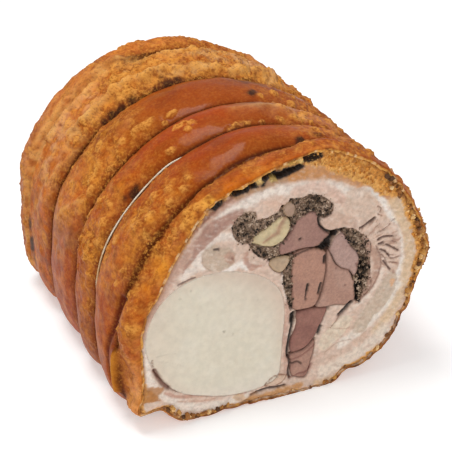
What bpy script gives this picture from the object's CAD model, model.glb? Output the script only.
"""A tied porchetta roll, cut straight across, on a plain studio floor.

The rind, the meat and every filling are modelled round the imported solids. Sizes are in
millimetres: x is measured from the roll's axis, z from the floor and y from the cut
towards the far end. Angles run round the axis from +X towards +Z. Meshes are in metres.
"""

import math

import bmesh
import bpy
import numpy as np
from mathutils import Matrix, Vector
from mathutils.geometry import delaunay_2d_cdt


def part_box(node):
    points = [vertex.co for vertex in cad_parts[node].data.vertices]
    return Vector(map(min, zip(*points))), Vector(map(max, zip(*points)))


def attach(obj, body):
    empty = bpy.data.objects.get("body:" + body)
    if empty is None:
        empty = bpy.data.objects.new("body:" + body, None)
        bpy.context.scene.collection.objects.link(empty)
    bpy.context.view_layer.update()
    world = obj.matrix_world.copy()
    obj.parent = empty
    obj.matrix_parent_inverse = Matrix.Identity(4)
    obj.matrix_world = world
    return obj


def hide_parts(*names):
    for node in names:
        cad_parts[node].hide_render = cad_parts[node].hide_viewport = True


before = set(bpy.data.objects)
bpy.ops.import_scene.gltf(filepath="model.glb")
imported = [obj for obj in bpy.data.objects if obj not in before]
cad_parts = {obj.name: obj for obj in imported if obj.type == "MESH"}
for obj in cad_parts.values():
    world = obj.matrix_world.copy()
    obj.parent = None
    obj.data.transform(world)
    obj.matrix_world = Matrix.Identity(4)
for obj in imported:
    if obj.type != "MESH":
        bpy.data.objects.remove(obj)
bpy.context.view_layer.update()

# ---- driving sizes ----

MM = 0.001
CUT_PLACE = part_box("rolled_pork")[0].y / MM
AXIS_X = 3.6
AXIS_HEIGHT = 88.0
ROLL_LENGTH = 212.0

# Radius of the roll over its rounded bands, by angle.
CREST = (
    (0, 98), (20, 93.5), (45, 89.5), (65, 87), (90, 87), (115, 88), (135, 90.5),
    (155, 95.5), (175, 103), (190, 109), (203, 118), (213, 127), (218, 129),
    (224, 123), (232, 112), (242, 100), (255, 91.5), (270, 89), (285, 91.5),
    (300, 99), (312, 101), (325, 99.5), (340, 97.5),
)

# Radius of the cut rim. The rind folds to a tip at 217 degrees, with a notch beside it.
RIM = (
    (0, 99), (8, 96), (19, 93), (31, 91), (42, 90), (54, 88.5), (65, 88), (75, 88),
    (84, 84), (98, 79.5), (112, 78), (125, 80.5), (134, 82.5), (153, 83.5),
    (164, 86), (174, 89.5), (182, 95.5), (193, 100), (203, 105.5), (212, 115),
    (216.5, 124), (220.5, 113), (226, 112), (231.5, 111), (236, 105), (246, 94.5),
    (258, 89), (270, 88), (290, 94), (298, 91.5), (304, 96), (312, 98),
    (321, 98.5), (328, 96.5), (336, 96), (346, 95.5),
)

# Thickness of the crackling in the rim: thick and porous at the upper right.
RIM_THICKNESS = (
    (0, 9.5), (6, 8.6), (15, 8), (24, 6.5), (28, 5.6), (31, 9.5), (35, 13), (43, 14.6),
    (51, 15.6), (58, 15.6), (67, 14.6), (75, 12), (85, 6.5), (95, 4), (110, 3.2), (130, 3),
    (160, 2.6), (190, 2.4), (205, 2.6), (217, 5), (225, 3), (240, 3), (260, 3),
    (280, 3), (300, 4), (309, 5), (315, 3.6), (331, 3), (342, 4.3), (348, 6), (355, 8.6),
)

# Each crease that the twine pulled in: distance from the cut, and how far it leans.
CREASES = ((17, 3), (52, 8), (87, 10), (131, 17), (175, 13))
BAND_WIDTHS = (17, 35, 35, 44, 42, 24)
FAR_BAND = len(CREASES)
LEAN_TOWARDS = 200.0
TWINE_CREASE = 1
FIRST_RISE = 2.0
FIRST_HUMPS = ((140, 60, 2.2), (186, 30, 7.4))
CREASE_DEPTH = 5.6
CREASE_HUMPS = ((145, 60, 2.6), (75, 50, 1.2))
BULGE_POWER = 0.62

# The far end: distance of its edge from the cut, lean, curl, dome and taper.
END_EDGE = (198, 13)
END_CURL = 17.0
END_HUMPS = ((140, 90, 5.0), (50, 60, -2.0))
END_DOME = 8.0
FAR_TAPER = 0.1
BODY_SHRINK = 16.0
BODY_RINGS = ((16.0, BODY_SHRINK + 2), (178.0, BODY_SHRINK + 4))

# Spacing of the meshes: fine where the bands are seen best, coarser round the right side.
FINE_FROM = 48.0
FINE_TO = 216.0
FINE_STEP = 0.6
COARSE_STEP = 1.2
BAND_SPACING = 1.2
FACE_SPACING = 0.85
FAR_SPACING = 2.4
SKIN_THICKNESS = 2.2
SKIN_LAP = 0.3
DEGREE = math.pi / 180
MEAN_RADIUS = 95
SKIN_PER_DEGREE = MEAN_RADIUS * DEGREE

# What the relief of the rind and the laying of the twine are given.
RIND_RELIEF = {
    "Blister Size": 4.4 * MM, "Blister Height": 0.9 * MM,
    "Crackle Size": 4.4 * MM, "Crackle Height": 0.95 * MM,
}
TWINE_LAY = {"Strand Radius": 0.3 * MM, "Lay Radius": 0.29 * MM, "Count": 1400, "Turns": 150}

# Crumbs: how many to a square metre, smallest and largest in mm, flatness and seed.
HERB_CRUMBS = (0.9e6, 0.5, 1.9, 0.45, 5)
RIM_CRUMBS = (0.12e6, 0.9, 2.8, 0.5, 9)
CRAG_CRUMBS = (0.30e6, 1.2, 4.6, 0.7, 12)

# The studio: lights by name, place, size and power, and the camera. Places in metres.
LIGHTS = (
    ("key_light", (-0.26, 0.12, 1.3), 0.55, 9.6),
    ("fill_light", (-0.3, -1.4, 0.8), 1.2, 5.45),
)
SKY_STRENGTH = 0.52
FLOOR_GLOW = 0.36
CAMERA_PLACE = (-0.34861, -0.80444, 0.57654)
CAMERA_AZIMUTH = -24
CAMERA_ELEVATION = 30
LENS = 120.1
SENSOR_WIDTH = 36.0


# ---- small maths ----


def soft(value, low, high):
    """A smooth step from 0 at low to 1 at high."""
    t = np.clip((value - low) / (high - low), 0, 1)
    return t * t * (3 - 2 * t)


def bell(away, width):
    """A soft peak: 1 at no distance, and nearly gone at twice the width."""
    return np.exp(-((away / width) ** 2))


def read_round(table, angles):
    """The smooth closed curve through a table of (angle, value) pairs, at many angles."""
    pairs = [(a - 360, v) for a, v in table[-2:]] + list(table)
    pairs += [(a + 360, v) for a, v in table[:3]]
    at, value = np.array(pairs, float).T
    slope = np.zeros(len(at))
    slope[1:-1] = (value[2:] - value[:-2]) / (at[2:] - at[:-2])
    angles = np.mod(angles, 360)
    i = np.clip(np.searchsorted(at, angles, side="right") - 1, 1, len(at) - 3)
    span = at[i + 1] - at[i]
    t = (angles - at[i]) / span
    return (
        value[i] * (2 * t**3 - 3 * t**2 + 1)
        + slope[i] * span * (t**3 - 2 * t**2 + t)
        + value[i + 1] * (3 * t**2 - 2 * t**3)
        + slope[i + 1] * span * (t**3 - t**2)
    )


def humps(table, angles):
    """The sum of soft humps (middle, half width, height) round the roll."""
    total = np.zeros(np.shape(angles))
    for centre, half_width, height in table:
        away = np.abs(np.mod(angles - centre + 180, 360) - 180)
        near = away < half_width
        total += np.where(near, height * np.cos(math.pi / 2 * away / half_width) ** 2, 0)
    return total


def hashed(cells, seed):
    """Three repeatable random values from -1 to 1 for each whole-numbered cell."""
    n = cells[..., 0] * 73856093 ^ cells[..., 1] * 19349663 ^ cells[..., 2] * 83492791
    n = (n + seed * 7919 + 1013) & 0x7FFFFFFF
    n = ((n ^ (n >> 13)) * 60493 + 19990303) & 0x7FFFFFFF
    n = ((n ^ (n >> 11)) * 15731 + 789221) & 0x7FFFFFFF
    n ^= n >> 15
    return [((n >> shift) & 0x3FF) / 511.5 - 1 for shift in (0, 10, 20)]


def noise(places, size, seed=0, octaves=3):
    """Smooth noise of a size in mm, about -1 to 1, at places given in mm."""
    total = np.zeros(len(places))
    strength = 1.0
    for octave in range(octaves):
        spots = places / size * 2**octave + 17.3 * octave
        cell = np.floor(spots).astype(np.int64)
        part = spots - cell
        ease = part**3 * (part * (part * 6 - 15) + 10)
        value = np.zeros(len(places))
        for corner in range(8):
            step = np.array([corner & 1, corner >> 1 & 1, corner >> 2])
            weight = np.prod(np.where(step, ease, 1 - ease), axis=1)
            slopes = hashed(cell + step, seed + 31 * octave)
            away = part - step
            value += weight * sum(slope * away[:, axis] for axis, slope in enumerate(slopes))
        total += 1.6 * strength * value
        strength *= 0.5
    return total


def distance_to_path(points, path, closed=False, reach=12.0):
    """Least distance from each point to a path of straight runs, up to a reach."""
    path = np.asarray(path, float)
    if closed:
        path = np.vstack((path, path[:1]))
    order = np.argsort(points[:, 0])
    ranked = points[order]
    best = np.full(len(points), float(reach))
    for start, end in zip(path, path[1:]):
        run = end - start
        span = (min(start[0], end[0]) - reach, max(start[0], end[0]) + reach)
        first, last = np.searchsorted(ranked[:, 0], span)
        away = ranked[first:last] - start
        share = np.clip((away @ run) / max(run @ run, 1e-9), 0, 1)
        away -= share[:, None] * run
        best[first:last] = np.minimum(best[first:last], np.hypot(away[:, 0], away[:, 1]))
    result = np.empty(len(points))
    result[order] = best
    return result


def inside(points, outline):
    """Which points lie inside a closed outline."""
    order = np.argsort(points[:, 1])
    x, z = points[order].T
    within = np.zeros(len(points), bool)
    for (x0, z0), (x1, z1) in zip(outline, np.roll(outline, -1, axis=0)):
        if z0 != z1:
            first, last = np.searchsorted(z, (min(z0, z1), max(z0, z1)))
            edge = (x1 - x0) * (z[first:last] - z0) / (z1 - z0) + x0
            within[first:last] ^= x[first:last] < edge
    result = np.empty(len(points), bool)
    result[order] = within
    return result


def depth_inside(points, outline, reach=12.0):
    """Distance to a closed outline, above 0 inside it and below 0 outside."""
    outline = np.asarray(outline, float).reshape(-1, 2)
    distance = distance_to_path(points, outline, closed=True, reach=reach)
    return np.where(inside(points, outline), distance, -distance)


def smooth_path(points, spacing, closed=False):
    """A smooth path through the points, with a point at about every spacing."""
    points = np.asarray(points, float).reshape(-1, 2)
    count = len(points)
    out = []
    for i in range(count if closed else count - 1):
        if closed:
            p = [points[(i + k) % count] for k in (-1, 0, 1, 2)]
        else:
            p = [points[min(max(i + k, 0), count - 1)] for k in (-1, 0, 1, 2)]
        steps = max(1, int(round(np.linalg.norm(p[2] - p[1]) / spacing)))
        for t in np.arange(steps) / steps:
            out.append(
                0.5 * (2 * p[1] + (p[2] - p[0]) * t)
                + 0.5 * (2 * p[0] - 5 * p[1] + 4 * p[2] - p[3]) * t**2
                + 0.5 * (3 * p[1] - p[0] - 3 * p[2] + p[3]) * t**3
            )
    if not closed:
        out.append(points[-1])
    return np.array(out)


def grown(outline, by):
    """An anticlockwise closed outline moved outwards by a distance."""
    along = np.roll(outline, -1, axis=0) - np.roll(outline, 1, axis=0)
    along /= np.maximum(np.linalg.norm(along, axis=1, keepdims=True), 1e-9)
    return outline + np.stack((along[:, 1], -along[:, 0]), 1) * by


def paint(colours, mask, tint):
    """Lays a tint over the colours where the mask is above 0."""
    colours += (np.array(tint) - colours) * np.clip(mask, 0, 1)[:, None]


def lay(colours, value, low, high, strength, tint):
    """Lays a tint that grows as a value goes from low to high, which may be the lesser."""
    paint(colours, soft(value, low, high) * strength, tint)


def dapple(colours, places, size, seed, low, high, strength, tint):
    """Lays a tint in soft patches of a size in mm."""
    lay(colours, noise(places, size, seed), low, high, strength, tint)


def plain(spots, tint):
    """One tint at every spot, to be painted on."""
    return np.tile(np.array(tint), (len(spots), 1))


def facing(angles, middle):
    """1 at the middle angle, falling to -1 on the far side of the roll."""
    return np.cos((angles - middle) * DEGREE)


def ring_places(radius, angles):
    """Places round the axis, level with the cut."""
    turn = angles * DEGREE
    return np.stack((radius * np.cos(turn), radius * np.sin(turn), 0 * turn), 1)


def around_axis(radius, angles, lowest=None):
    """x and z at a radius and an angle round the axis, no lower than the height given."""
    turn = angles * DEGREE
    z = AXIS_HEIGHT + radius * np.sin(turn)
    return radius * np.cos(turn), z if lowest is None else np.maximum(z, lowest)


def angle_at(x, z):
    """The angle of a point of the cut round the axis, in degrees."""
    return np.arctan2(z - AXIS_HEIGHT, x) / DEGREE


def with_z(points, z=0.0):
    """Points of the cut with a third value, so that noise can be read at them."""
    return np.column_stack((points, np.full(len(points), z)))


# ---- meshes and node trees ----


def to_model(x, y, z):
    """Places in mm from the axis, the cut and the floor, as points of the model."""
    places = np.stack(np.broadcast_arrays(x + AXIS_X, y + CUT_PLACE, z), -1)
    return places.reshape(-1, 3) * MM


def make_piece(name, places, faces, colours=None, **values):
    """A mesh object from points and faces, with painted colours and values at points."""
    mesh = bpy.data.meshes.new(name)
    mesh.from_pydata(places.tolist(), [], faces.tolist() if hasattr(faces, "tolist") else faces)
    mesh.update()
    if colours is not None:
        rgba = np.ones((len(places), 4), np.float32)
        rgba[:, :3] = colours
        mesh.attributes.new("tone", "FLOAT_COLOR", "POINT").data.foreach_set("color", rgba.ravel())
    for key, value in values.items():
        spread = np.broadcast_to(value, len(places)).astype(np.float32)
        mesh.attributes.new(key, "FLOAT", "POINT").data.foreach_set("value", spread)
    mesh.shade_smooth()
    obj = bpy.data.objects.new(name, mesh)
    bpy.context.scene.collection.objects.link(obj)
    return obj


def put_in_place(piece, node=None, material=None):
    """Gives a piece its finish, slot and body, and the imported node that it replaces."""
    if material:
        piece.data.materials.append(material)
    if node:
        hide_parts(node)
    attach(piece, "root")
    return piece


def add_node(tree, kind, inputs=(), **settings):
    """Adds a node. Inputs are named or numbered, and each is a socket to join or a value."""
    node = tree.nodes.new(kind)
    for key, value in settings.items():
        setattr(node, key, value)
    for key, value in dict(inputs).items():
        if isinstance(value, bpy.types.NodeSocket):
            tree.links.new(value, node.inputs[key])
        else:
            node.inputs[key].default_value = value
    return node


def math_node(tree, operation, first, second=0.0, third=0.0):
    """Arithmetic on one to three values."""
    inputs = {0: first, 1: second, 2: third}
    return add_node(tree, "ShaderNodeMath", inputs, operation=operation).outputs[0]


def product(tree, first, second):
    """Two values multiplied."""
    return math_node(tree, "MULTIPLY", first, second)


def scaled(tree, value, scale, base):
    """A value scaled, with a base added."""
    return math_node(tree, "MULTIPLY_ADD", value, scale, base)


def ramp_between(tree, value, low, high, to_low=0.0, to_high=1.0):
    """Maps a value smoothly from one range to another."""
    inputs = {"Value": value, "From Min": low, "From Max": high, "To Min": to_low}
    inputs["To Max"] = to_high
    return add_node(tree, "ShaderNodeMapRange", inputs, interpolation_type="SMOOTHSTEP").outputs[0]


def new_tree(name, sizes):
    """An empty Geometry Nodes tree with a geometry input, named sizes and a material."""
    tree = bpy.data.node_groups.new(name, "GeometryNodeTree")
    tree.interface.new_socket("Geometry", in_out="INPUT", socket_type="NodeSocketGeometry")
    for label in sizes:
        kind = "NodeSocketInt" if label in ("Seed", "Count", "Turns") else "NodeSocketFloat"
        tree.interface.new_socket(label, in_out="INPUT", socket_type=kind)
    tree.interface.new_socket("Finish", in_out="INPUT", socket_type="NodeSocketMaterial")
    tree.interface.new_socket("Geometry", in_out="OUTPUT", socket_type="NodeSocketGeometry")
    given = tree.nodes.new("NodeGroupInput")
    return tree, given.outputs


def close_tree(tree, geometry, finish):
    """Ends a tree: instances made real, and the material set."""
    real = add_node(tree, "GeometryNodeRealizeInstances", {"Geometry": geometry}).outputs[0]
    done = add_node(tree, "GeometryNodeSetMaterial", {"Geometry": real, "Material": finish})
    add_node(tree, "NodeGroupOutput", {"Geometry": done.outputs[0]})


def run_tree(obj, tree, sizes, material):
    """Runs a tree on an object and leaves the plain mesh that it makes."""
    modifier = obj.modifiers.new(tree.name, "NODES")
    modifier.node_group = tree
    given = {**sizes, "Finish": material}
    for item in tree.interface.items_tree:
        if item.in_out == "INPUT" and item.name in given:
            modifier[item.identifier] = given[item.name]
    graph = bpy.context.evaluated_depsgraph_get()
    mesh = bpy.data.meshes.new_from_object(obj.evaluated_get(graph))
    obj.modifiers.clear()
    obj.data = mesh
    mesh.name = obj.name
    return obj


def stored_value(tree, name):
    """A value that the mesh carries."""
    kind = "GeometryNodeInputNamedAttribute"
    return add_node(tree, kind, {"Name": name}, data_type="FLOAT").outputs[0]


def store_value(tree, geometry, name, value, domain="POINT"):
    """Writes a value on the mesh, for its finish to read."""
    kind = "GeometryNodeStoreNamedAttribute"
    inputs = {"Geometry": geometry, "Name": name, "Value": value}
    return add_node(tree, kind, inputs, data_type="FLOAT", domain=domain).outputs[0]


def relief_tree():
    """Raises blisters and a fine crackle on a rind, as much as its crackle value says."""
    sizes = ("Blister Size", "Blister Height", "Crackle Size", "Crackle Height")
    tree, given = new_tree("blistered_rind", sizes)
    place = add_node(tree, "GeometryNodeInputPosition").outputs[0]
    crackle = stored_value(tree, "crackle")

    def grain(size, detail):
        scale = math_node(tree, "DIVIDE", 1.0, size)
        inputs = {"Vector": place, "Scale": scale, "Detail": detail}
        value = add_node(tree, "ShaderNodeTexNoise", inputs).outputs["Fac"]
        return scaled(tree, value, 2.0, -1.0)

    scale = math_node(tree, "DIVIDE", 1.0, given["Blister Size"])
    inputs = {"Vector": place, "Scale": scale, "Smoothness": 0.25}
    cells = add_node(tree, "ShaderNodeTexVoronoi", inputs, feature="SMOOTH_F1")
    dome = ramp_between(tree, cells.outputs["Distance"], 0.1, 0.6, 1.0, 0.0)
    wide = product(tree, given["Blister Size"], 2.6)
    chance = ramp_between(tree, grain(wide, 1.0), -0.15, 0.3)
    blister = product(tree, product(tree, dome, chance), crackle)
    amount = scaled(tree, crackle, 0.85, 0.15)
    fine = product(tree, grain(given["Crackle Size"], 4.0), amount)
    height = product(tree, fine, given["Crackle Height"])
    height = scaled(tree, blister, given["Blister Height"], height)
    normal = add_node(tree, "GeometryNodeInputNormal").outputs[0]
    shift = add_node(tree, "ShaderNodeVectorMath", {0: normal, "Scale": height}, operation="SCALE")
    geometry = store_value(tree, given["Geometry"], "blister", blister)
    inputs = {"Geometry": geometry, "Offset": shift.outputs[0]}
    moved = add_node(tree, "GeometryNodeSetPosition", inputs)
    close_tree(tree, moved.outputs[0], given["Finish"])
    return tree


def crumb_tree():
    """Scatters rough crumbs over a surface, as thick as its own crumb value says."""
    sizes = ("Density", "Smallest", "Largest", "Flatness", "Seed")
    tree, given = new_tree("scattered_crumbs", sizes)
    thickness = product(tree, stored_value(tree, "crumbs"), given["Density"])
    inputs = {"Mesh": given["Geometry"], "Density": thickness, "Seed": given["Seed"]}
    spread = add_node(tree, "GeometryNodeDistributePointsOnFaces", inputs)
    ball = add_node(tree, "GeometryNodeMeshIcoSphere", {"Radius": 0.5, "Subdivisions": 1})
    place = add_node(tree, "GeometryNodeInputPosition").outputs[0]
    lumps = add_node(tree, "ShaderNodeTexNoise", {"Vector": place, "Scale": 2.2, "Detail": 2.0})
    grow = scaled(tree, lumps.outputs["Fac"], 1.5, -0.75)
    shift = add_node(tree, "ShaderNodeVectorMath", {0: place, "Scale": grow}, operation="SCALE")
    inputs = {"Geometry": ball.outputs[0], "Offset": shift.outputs[0]}
    lump = add_node(tree, "GeometryNodeSetPosition", inputs)

    def random_value(kind, low, high, salt):
        first = 2 if kind == "FLOAT" else 0
        seed = math_node(tree, "ADD", given["Seed"], float(salt))
        inputs = {first: low, first + 1: high, "Seed": seed}
        node = add_node(tree, "FunctionNodeRandomValue", inputs, data_type=kind)
        return node.outputs[first // 2]

    turn = random_value("FLOAT_VECTOR", (0, 0, 0), (6.28, 6.28, 6.28), 1)
    size = random_value("FLOAT", given["Smallest"], given["Largest"], 2)
    flat = product(tree, size, given["Flatness"])
    long = product(tree, size, random_value("FLOAT", 0.8, 1.5, 3))
    scale = add_node(tree, "ShaderNodeCombineXYZ", {0: long, 1: size, 2: flat}).outputs[0]
    inputs = {"Points": spread.outputs["Points"], "Instance": lump.outputs[0]}
    inputs |= {"Rotation": turn, "Scale": scale}
    laid = add_node(tree, "GeometryNodeInstanceOnPoints", inputs)
    clumps = add_node(tree, "ShaderNodeTexNoise", {"Vector": place, "Scale": 260.0, "Detail": 1.0})
    chance = random_value("FLOAT", -1.1, -0.5, 4)
    tint = scaled(tree, clumps.outputs["Fac"], 2.6, chance)
    tint = math_node(tree, "MINIMUM", math_node(tree, "MAXIMUM", tint, 0.0), 1.0)
    tinted = store_value(tree, laid.outputs[0], "tint", tint, "INSTANCE")
    close_tree(tree, tinted, given["Finish"])
    return tree


def twine_tree():
    """Lays three twisted strands along a closed path."""
    tree, given = new_tree("laid_twine", ("Strand Radius", "Lay Radius", "Count", "Turns"))
    path = add_node(tree, "GeometryNodeMeshToCurve", {"Mesh": given["Geometry"]})
    inputs = {"Curve": path.outputs[0], "Count": given["Count"]}
    fine = add_node(tree, "GeometryNodeResampleCurve", inputs).outputs[0]
    along = add_node(tree, "GeometryNodeInputTangent").outputs[0]
    normal = add_node(tree, "GeometryNodeInputNormal").outputs[0]

    def vector(operation, first, second):
        inputs = {0: first, "Scale" if operation == "SCALE" else 1: second}
        return add_node(tree, "ShaderNodeVectorMath", inputs, operation=operation).outputs[0]

    side = vector("CROSS_PRODUCT", along, normal)
    share = add_node(tree, "GeometryNodeSplineParameter").outputs["Factor"]
    turned = product(tree, share, given["Turns"])
    turned = product(tree, turned, math.tau)
    inputs = {"Resolution": 7, "Radius": given["Strand Radius"]}
    ring = add_node(tree, "GeometryNodeCurvePrimitiveCircle", inputs).outputs[0]
    joined = add_node(tree, "GeometryNodeJoinGeometry")
    for strand in range(3):
        angle = math_node(tree, "ADD", turned, strand * math.tau / 3)
        out = product(tree, math_node(tree, "COSINE", angle), given["Lay Radius"])
        over = product(tree, math_node(tree, "SINE", angle), given["Lay Radius"])
        shift = vector("ADD", vector("SCALE", normal, out), vector("SCALE", side, over))
        inputs = {"Geometry": fine, "Offset": shift}
        wound = add_node(tree, "GeometryNodeSetPosition", inputs).outputs[0]
        inputs = {"Curve": wound, "Profile Curve": ring, "Fill Caps": True}
        tube = add_node(tree, "GeometryNodeCurveToMesh", inputs).outputs[0]
        tree.links.new(tube, joined.inputs[0])
    smooth = add_node(tree, "GeometryNodeSetShadeSmooth", {"Geometry": joined.outputs[0]})
    close_tree(tree, smooth.outputs[0], given["Finish"])
    return tree


# ---- finishes ----


def finish(name, roughness, **sockets):
    """A new material and its shader, with values that are the same all over set on it."""
    material = bpy.data.materials.new(name)
    material.use_nodes = True
    tree = material.node_tree
    shader = tree.nodes["Principled BSDF"]
    shader.inputs["Roughness"].default_value = roughness
    for key, value in sockets.items():
        shader.inputs[key.replace("_", " ")].default_value = value
    return material, tree, shader


def texture(tree, size, detail, roughness=0.6):
    """A noise of a size in mm over the piece, on its own coordinates."""
    where = add_node(tree, "ShaderNodeTexCoord").outputs["Object"]
    inputs = {"Vector": where, "Scale": 1 / (size * MM)}
    inputs |= {"Detail": detail, "Roughness": roughness}
    return add_node(tree, "ShaderNodeTexNoise", inputs).outputs["Fac"]


def blend_colours(tree, factor, first, second, mode="MIX"):
    """Two colours mixed by a factor."""
    node = add_node(tree, "ShaderNodeMix", data_type="RGBA", blend_type=mode)
    for key, value in ((0, factor), (6, first), (7, second)):
        if isinstance(value, bpy.types.NodeSocket):
            tree.links.new(value, node.inputs[key])
        else:
            node.inputs[key].default_value = (*value, 1.0) if key else value
    return node.outputs[2]


def bump(tree, shader, height, distance, strength):
    """Fine relief on a shader, up to a distance in mm."""
    inputs = {"Height": height, "Distance": distance * MM, "Strength": strength}
    tree.links.new(add_node(tree, "ShaderNodeBump", inputs).outputs[0], shader.inputs["Normal"])


def attribute(tree, name, output="Color"):
    """A colour or value painted on the piece."""
    return add_node(tree, "ShaderNodeAttribute", attribute_name=name).outputs[output]


def shaded(tree, colour, shade):
    """A colour made darker or lighter by a shade."""
    grey = add_node(tree, "ShaderNodeCombineColor", {0: shade, 1: shade, 2: shade}).outputs[0]
    return blend_colours(tree, 1.0, colour, grey, "MULTIPLY")


def crackling_finish():
    """Roast rind: smooth and glossy amber, and dull golden crackle where it has popped."""
    material, tree, shader = finish(
        "crackling", 0.4, Specular_IOR_Level=0.08, Coat_Roughness=0.16, Coat_IOR=1.4
    )
    shader.inputs["Specular Tint"].default_value = (1.0, 0.5, 0.2, 1.0)
    tone = attribute(tree, "tone")
    blister = attribute(tree, "blister", "Fac")
    popped = attribute(tree, "popped", "Fac")
    crackle = attribute(tree, "crackle", "Fac")
    fine = texture(tree, 1.7, 5.0, 0.65)
    speckle = texture(tree, 0.75, 3.0, 0.6)
    lit = product(tree, ramp_between(tree, fine, 0.49, 0.62), scaled(tree, crackle, 0.6, 0.08))
    raised = product(tree, blister, 0.4)
    patch = product(tree, ramp_between(tree, fine, 0.4, 0.55), popped)
    dark = product(tree, ramp_between(tree, fine, 0.48, 0.35), scaled(tree, crackle, 0.2, 0.28))
    spots = ramp_between(tree, speckle, 0.64, 0.72, 0.0, 0.5)
    colour = tone
    for amount, tint in (
        (lit, (0.7, 0.3, 0.05)), (raised, (0.74, 0.36, 0.08)),
        (product(tree, patch, 0.3), (0.8, 0.38, 0.09)),
        (dark, (0.13, 0.028, 0.006)), (spots, (0.1, 0.025, 0.008)),
    ):
        colour = blend_colours(tree, amount, colour, tint)
    tree.links.new(colour, shader.inputs["Base Color"])
    rough = scaled(tree, crackle, 0.26, 0.3)
    rough = scaled(tree, fine, 0.16, rough)
    tree.links.new(rough, shader.inputs["Roughness"])
    gloss = scaled(tree, crackle, -0.6, attribute(tree, "polish", "Fac"))
    gloss = math_node(tree, "MAXIMUM", gloss, 0.0)
    tree.links.new(gloss, shader.inputs["Coat Weight"])
    height = product(tree, fine, scaled(tree, crackle, 0.85, 0.12))
    height = scaled(tree, speckle, 0.12, height)
    bump(tree, shader, height, 0.9, 0.8)
    return material


def flesh_finish(name, fibre, fleck, smoothest, crisp=False, contrast=0.12):
    """Cut meat: painted tone with fine fibres and flecks, and a faint wet sheen."""
    material, tree, shader = finish(name, 0.5, Specular_IOR_Level=0.3, Subsurface_Weight=0.08)
    shader.inputs["Subsurface Radius"].default_value = (1.0, 0.5, 0.3)
    shader.inputs["Subsurface Scale"].default_value = 1.2 * MM
    strands = texture(tree, fibre, 4.0, 0.6)
    grain = texture(tree, 0.8, 3.0, 0.6)
    shade = ramp_between(tree, strands, 0.3, 0.7, 1 - contrast, 1 + contrast)
    colour = shaded(tree, attribute(tree, "tone"), shade)
    flecks = ramp_between(tree, grain, 0.62, 0.76, 0.0, fleck)
    colour = blend_colours(tree, flecks, colour, (0.22, 0.11, 0.075))
    rough = ramp_between(tree, grain, 0.2, 0.8, smoothest, smoothest + 0.25)
    height = scaled(tree, grain, 0.4, strands)
    if crisp:
        porous = attribute(tree, "porous", "Fac")
        holes = texture(tree, 1.5, 4.0, 0.6)
        lit = product(tree, ramp_between(tree, holes, 0.54, 0.68, 0.0, 0.75), porous)
        colour = blend_colours(tree, lit, colour, (0.84, 0.44, 0.12))
        dark = product(tree, ramp_between(tree, holes, 0.42, 0.31, 0.0, 0.7), porous)
        colour = blend_colours(tree, dark, colour, (0.26, 0.09, 0.012))
        rough = scaled(tree, porous, 0.2, rough)
        open_holes = product(tree, holes, porous)
        height = scaled(tree, open_holes, 2.4, height)
    tree.links.new(colour, shader.inputs["Base Color"])
    tree.links.new(rough, shader.inputs["Roughness"])
    bump(tree, shader, height, 0.5, 0.5)
    return material


def crumb_finish(name, stops, roughness=0.75):
    """Crumbs whose colour is drawn for each one from a row of stops."""
    material, tree, shader = finish(name, roughness, Specular_IOR_Level=0.25)
    ramp = add_node(tree, "ShaderNodeValToRGB", {"Fac": attribute(tree, "tint", "Fac")})
    while len(ramp.color_ramp.elements) < len(stops):
        ramp.color_ramp.elements.new(0.5)
    for element, (place, colour) in zip(ramp.color_ramp.elements, stops):
        element.position = place
        element.color = (*colour, 1.0)
    grain = texture(tree, 0.5, 3.0)
    shade = ramp_between(tree, grain, 0.3, 0.7, 0.7, 1.25)
    tree.links.new(shaded(tree, ramp.outputs[0], shade), shader.inputs["Base Color"])
    bump(tree, shader, grain, 0.3, 0.6)
    return material


def twine_finish():
    """Cream cotton, stained by fat."""
    material, tree, shader = finish("cotton_twine", 0.8, Specular_IOR_Level=0.2)
    stain = texture(tree, 18.0, 3.0)
    fibre = texture(tree, 0.35, 3.0)
    amount = ramp_between(tree, stain, 0.42, 0.62)
    colour = blend_colours(tree, amount, (0.9, 0.82, 0.66), (0.74, 0.52, 0.28))
    dark = ramp_between(tree, fibre, 0.5, 0.3, 0.0, 0.35)
    colour = blend_colours(tree, dark, colour, (0.3, 0.16, 0.07))
    tree.links.new(colour, shader.inputs["Base Color"])
    bump(tree, shader, fibre, 0.2, 0.8)
    return material


def floor_finish():
    """Matt white card with a trace of unevenness."""
    material, tree, shader = finish("pale_floor", 0.9, Specular_IOR_Level=0.1)
    shader.inputs["Emission Color"].default_value = (1, 1, 1, 1)
    shader.inputs["Emission Strength"].default_value = FLOOR_GLOW
    tone = ramp_between(tree, texture(tree, 400.0, 2.0), 0.3, 0.7)
    colour = blend_colours(tree, tone, (0.79, 0.79, 0.79), (0.81, 0.81, 0.81))
    tree.links.new(colour, shader.inputs["Base Color"])
    return material


# ---- the rind ----

GOLD = (0.66, 0.28, 0.06)
OLIVE = (0.26, 0.1, 0.02)
PINKISH = (0.6, 0.28, 0.15)
RED_BROWN = (0.17, 0.024, 0.006)
BURNT = (0.03, 0.012, 0.008)
GREY = (0.34, 0.18, 0.12)
PALE = (0.74, 0.46, 0.32)
LIT_FOLD = (0.84, 0.46, 0.15)
DEEP_FOLD = (0.42, 0.09, 0.012)

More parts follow.
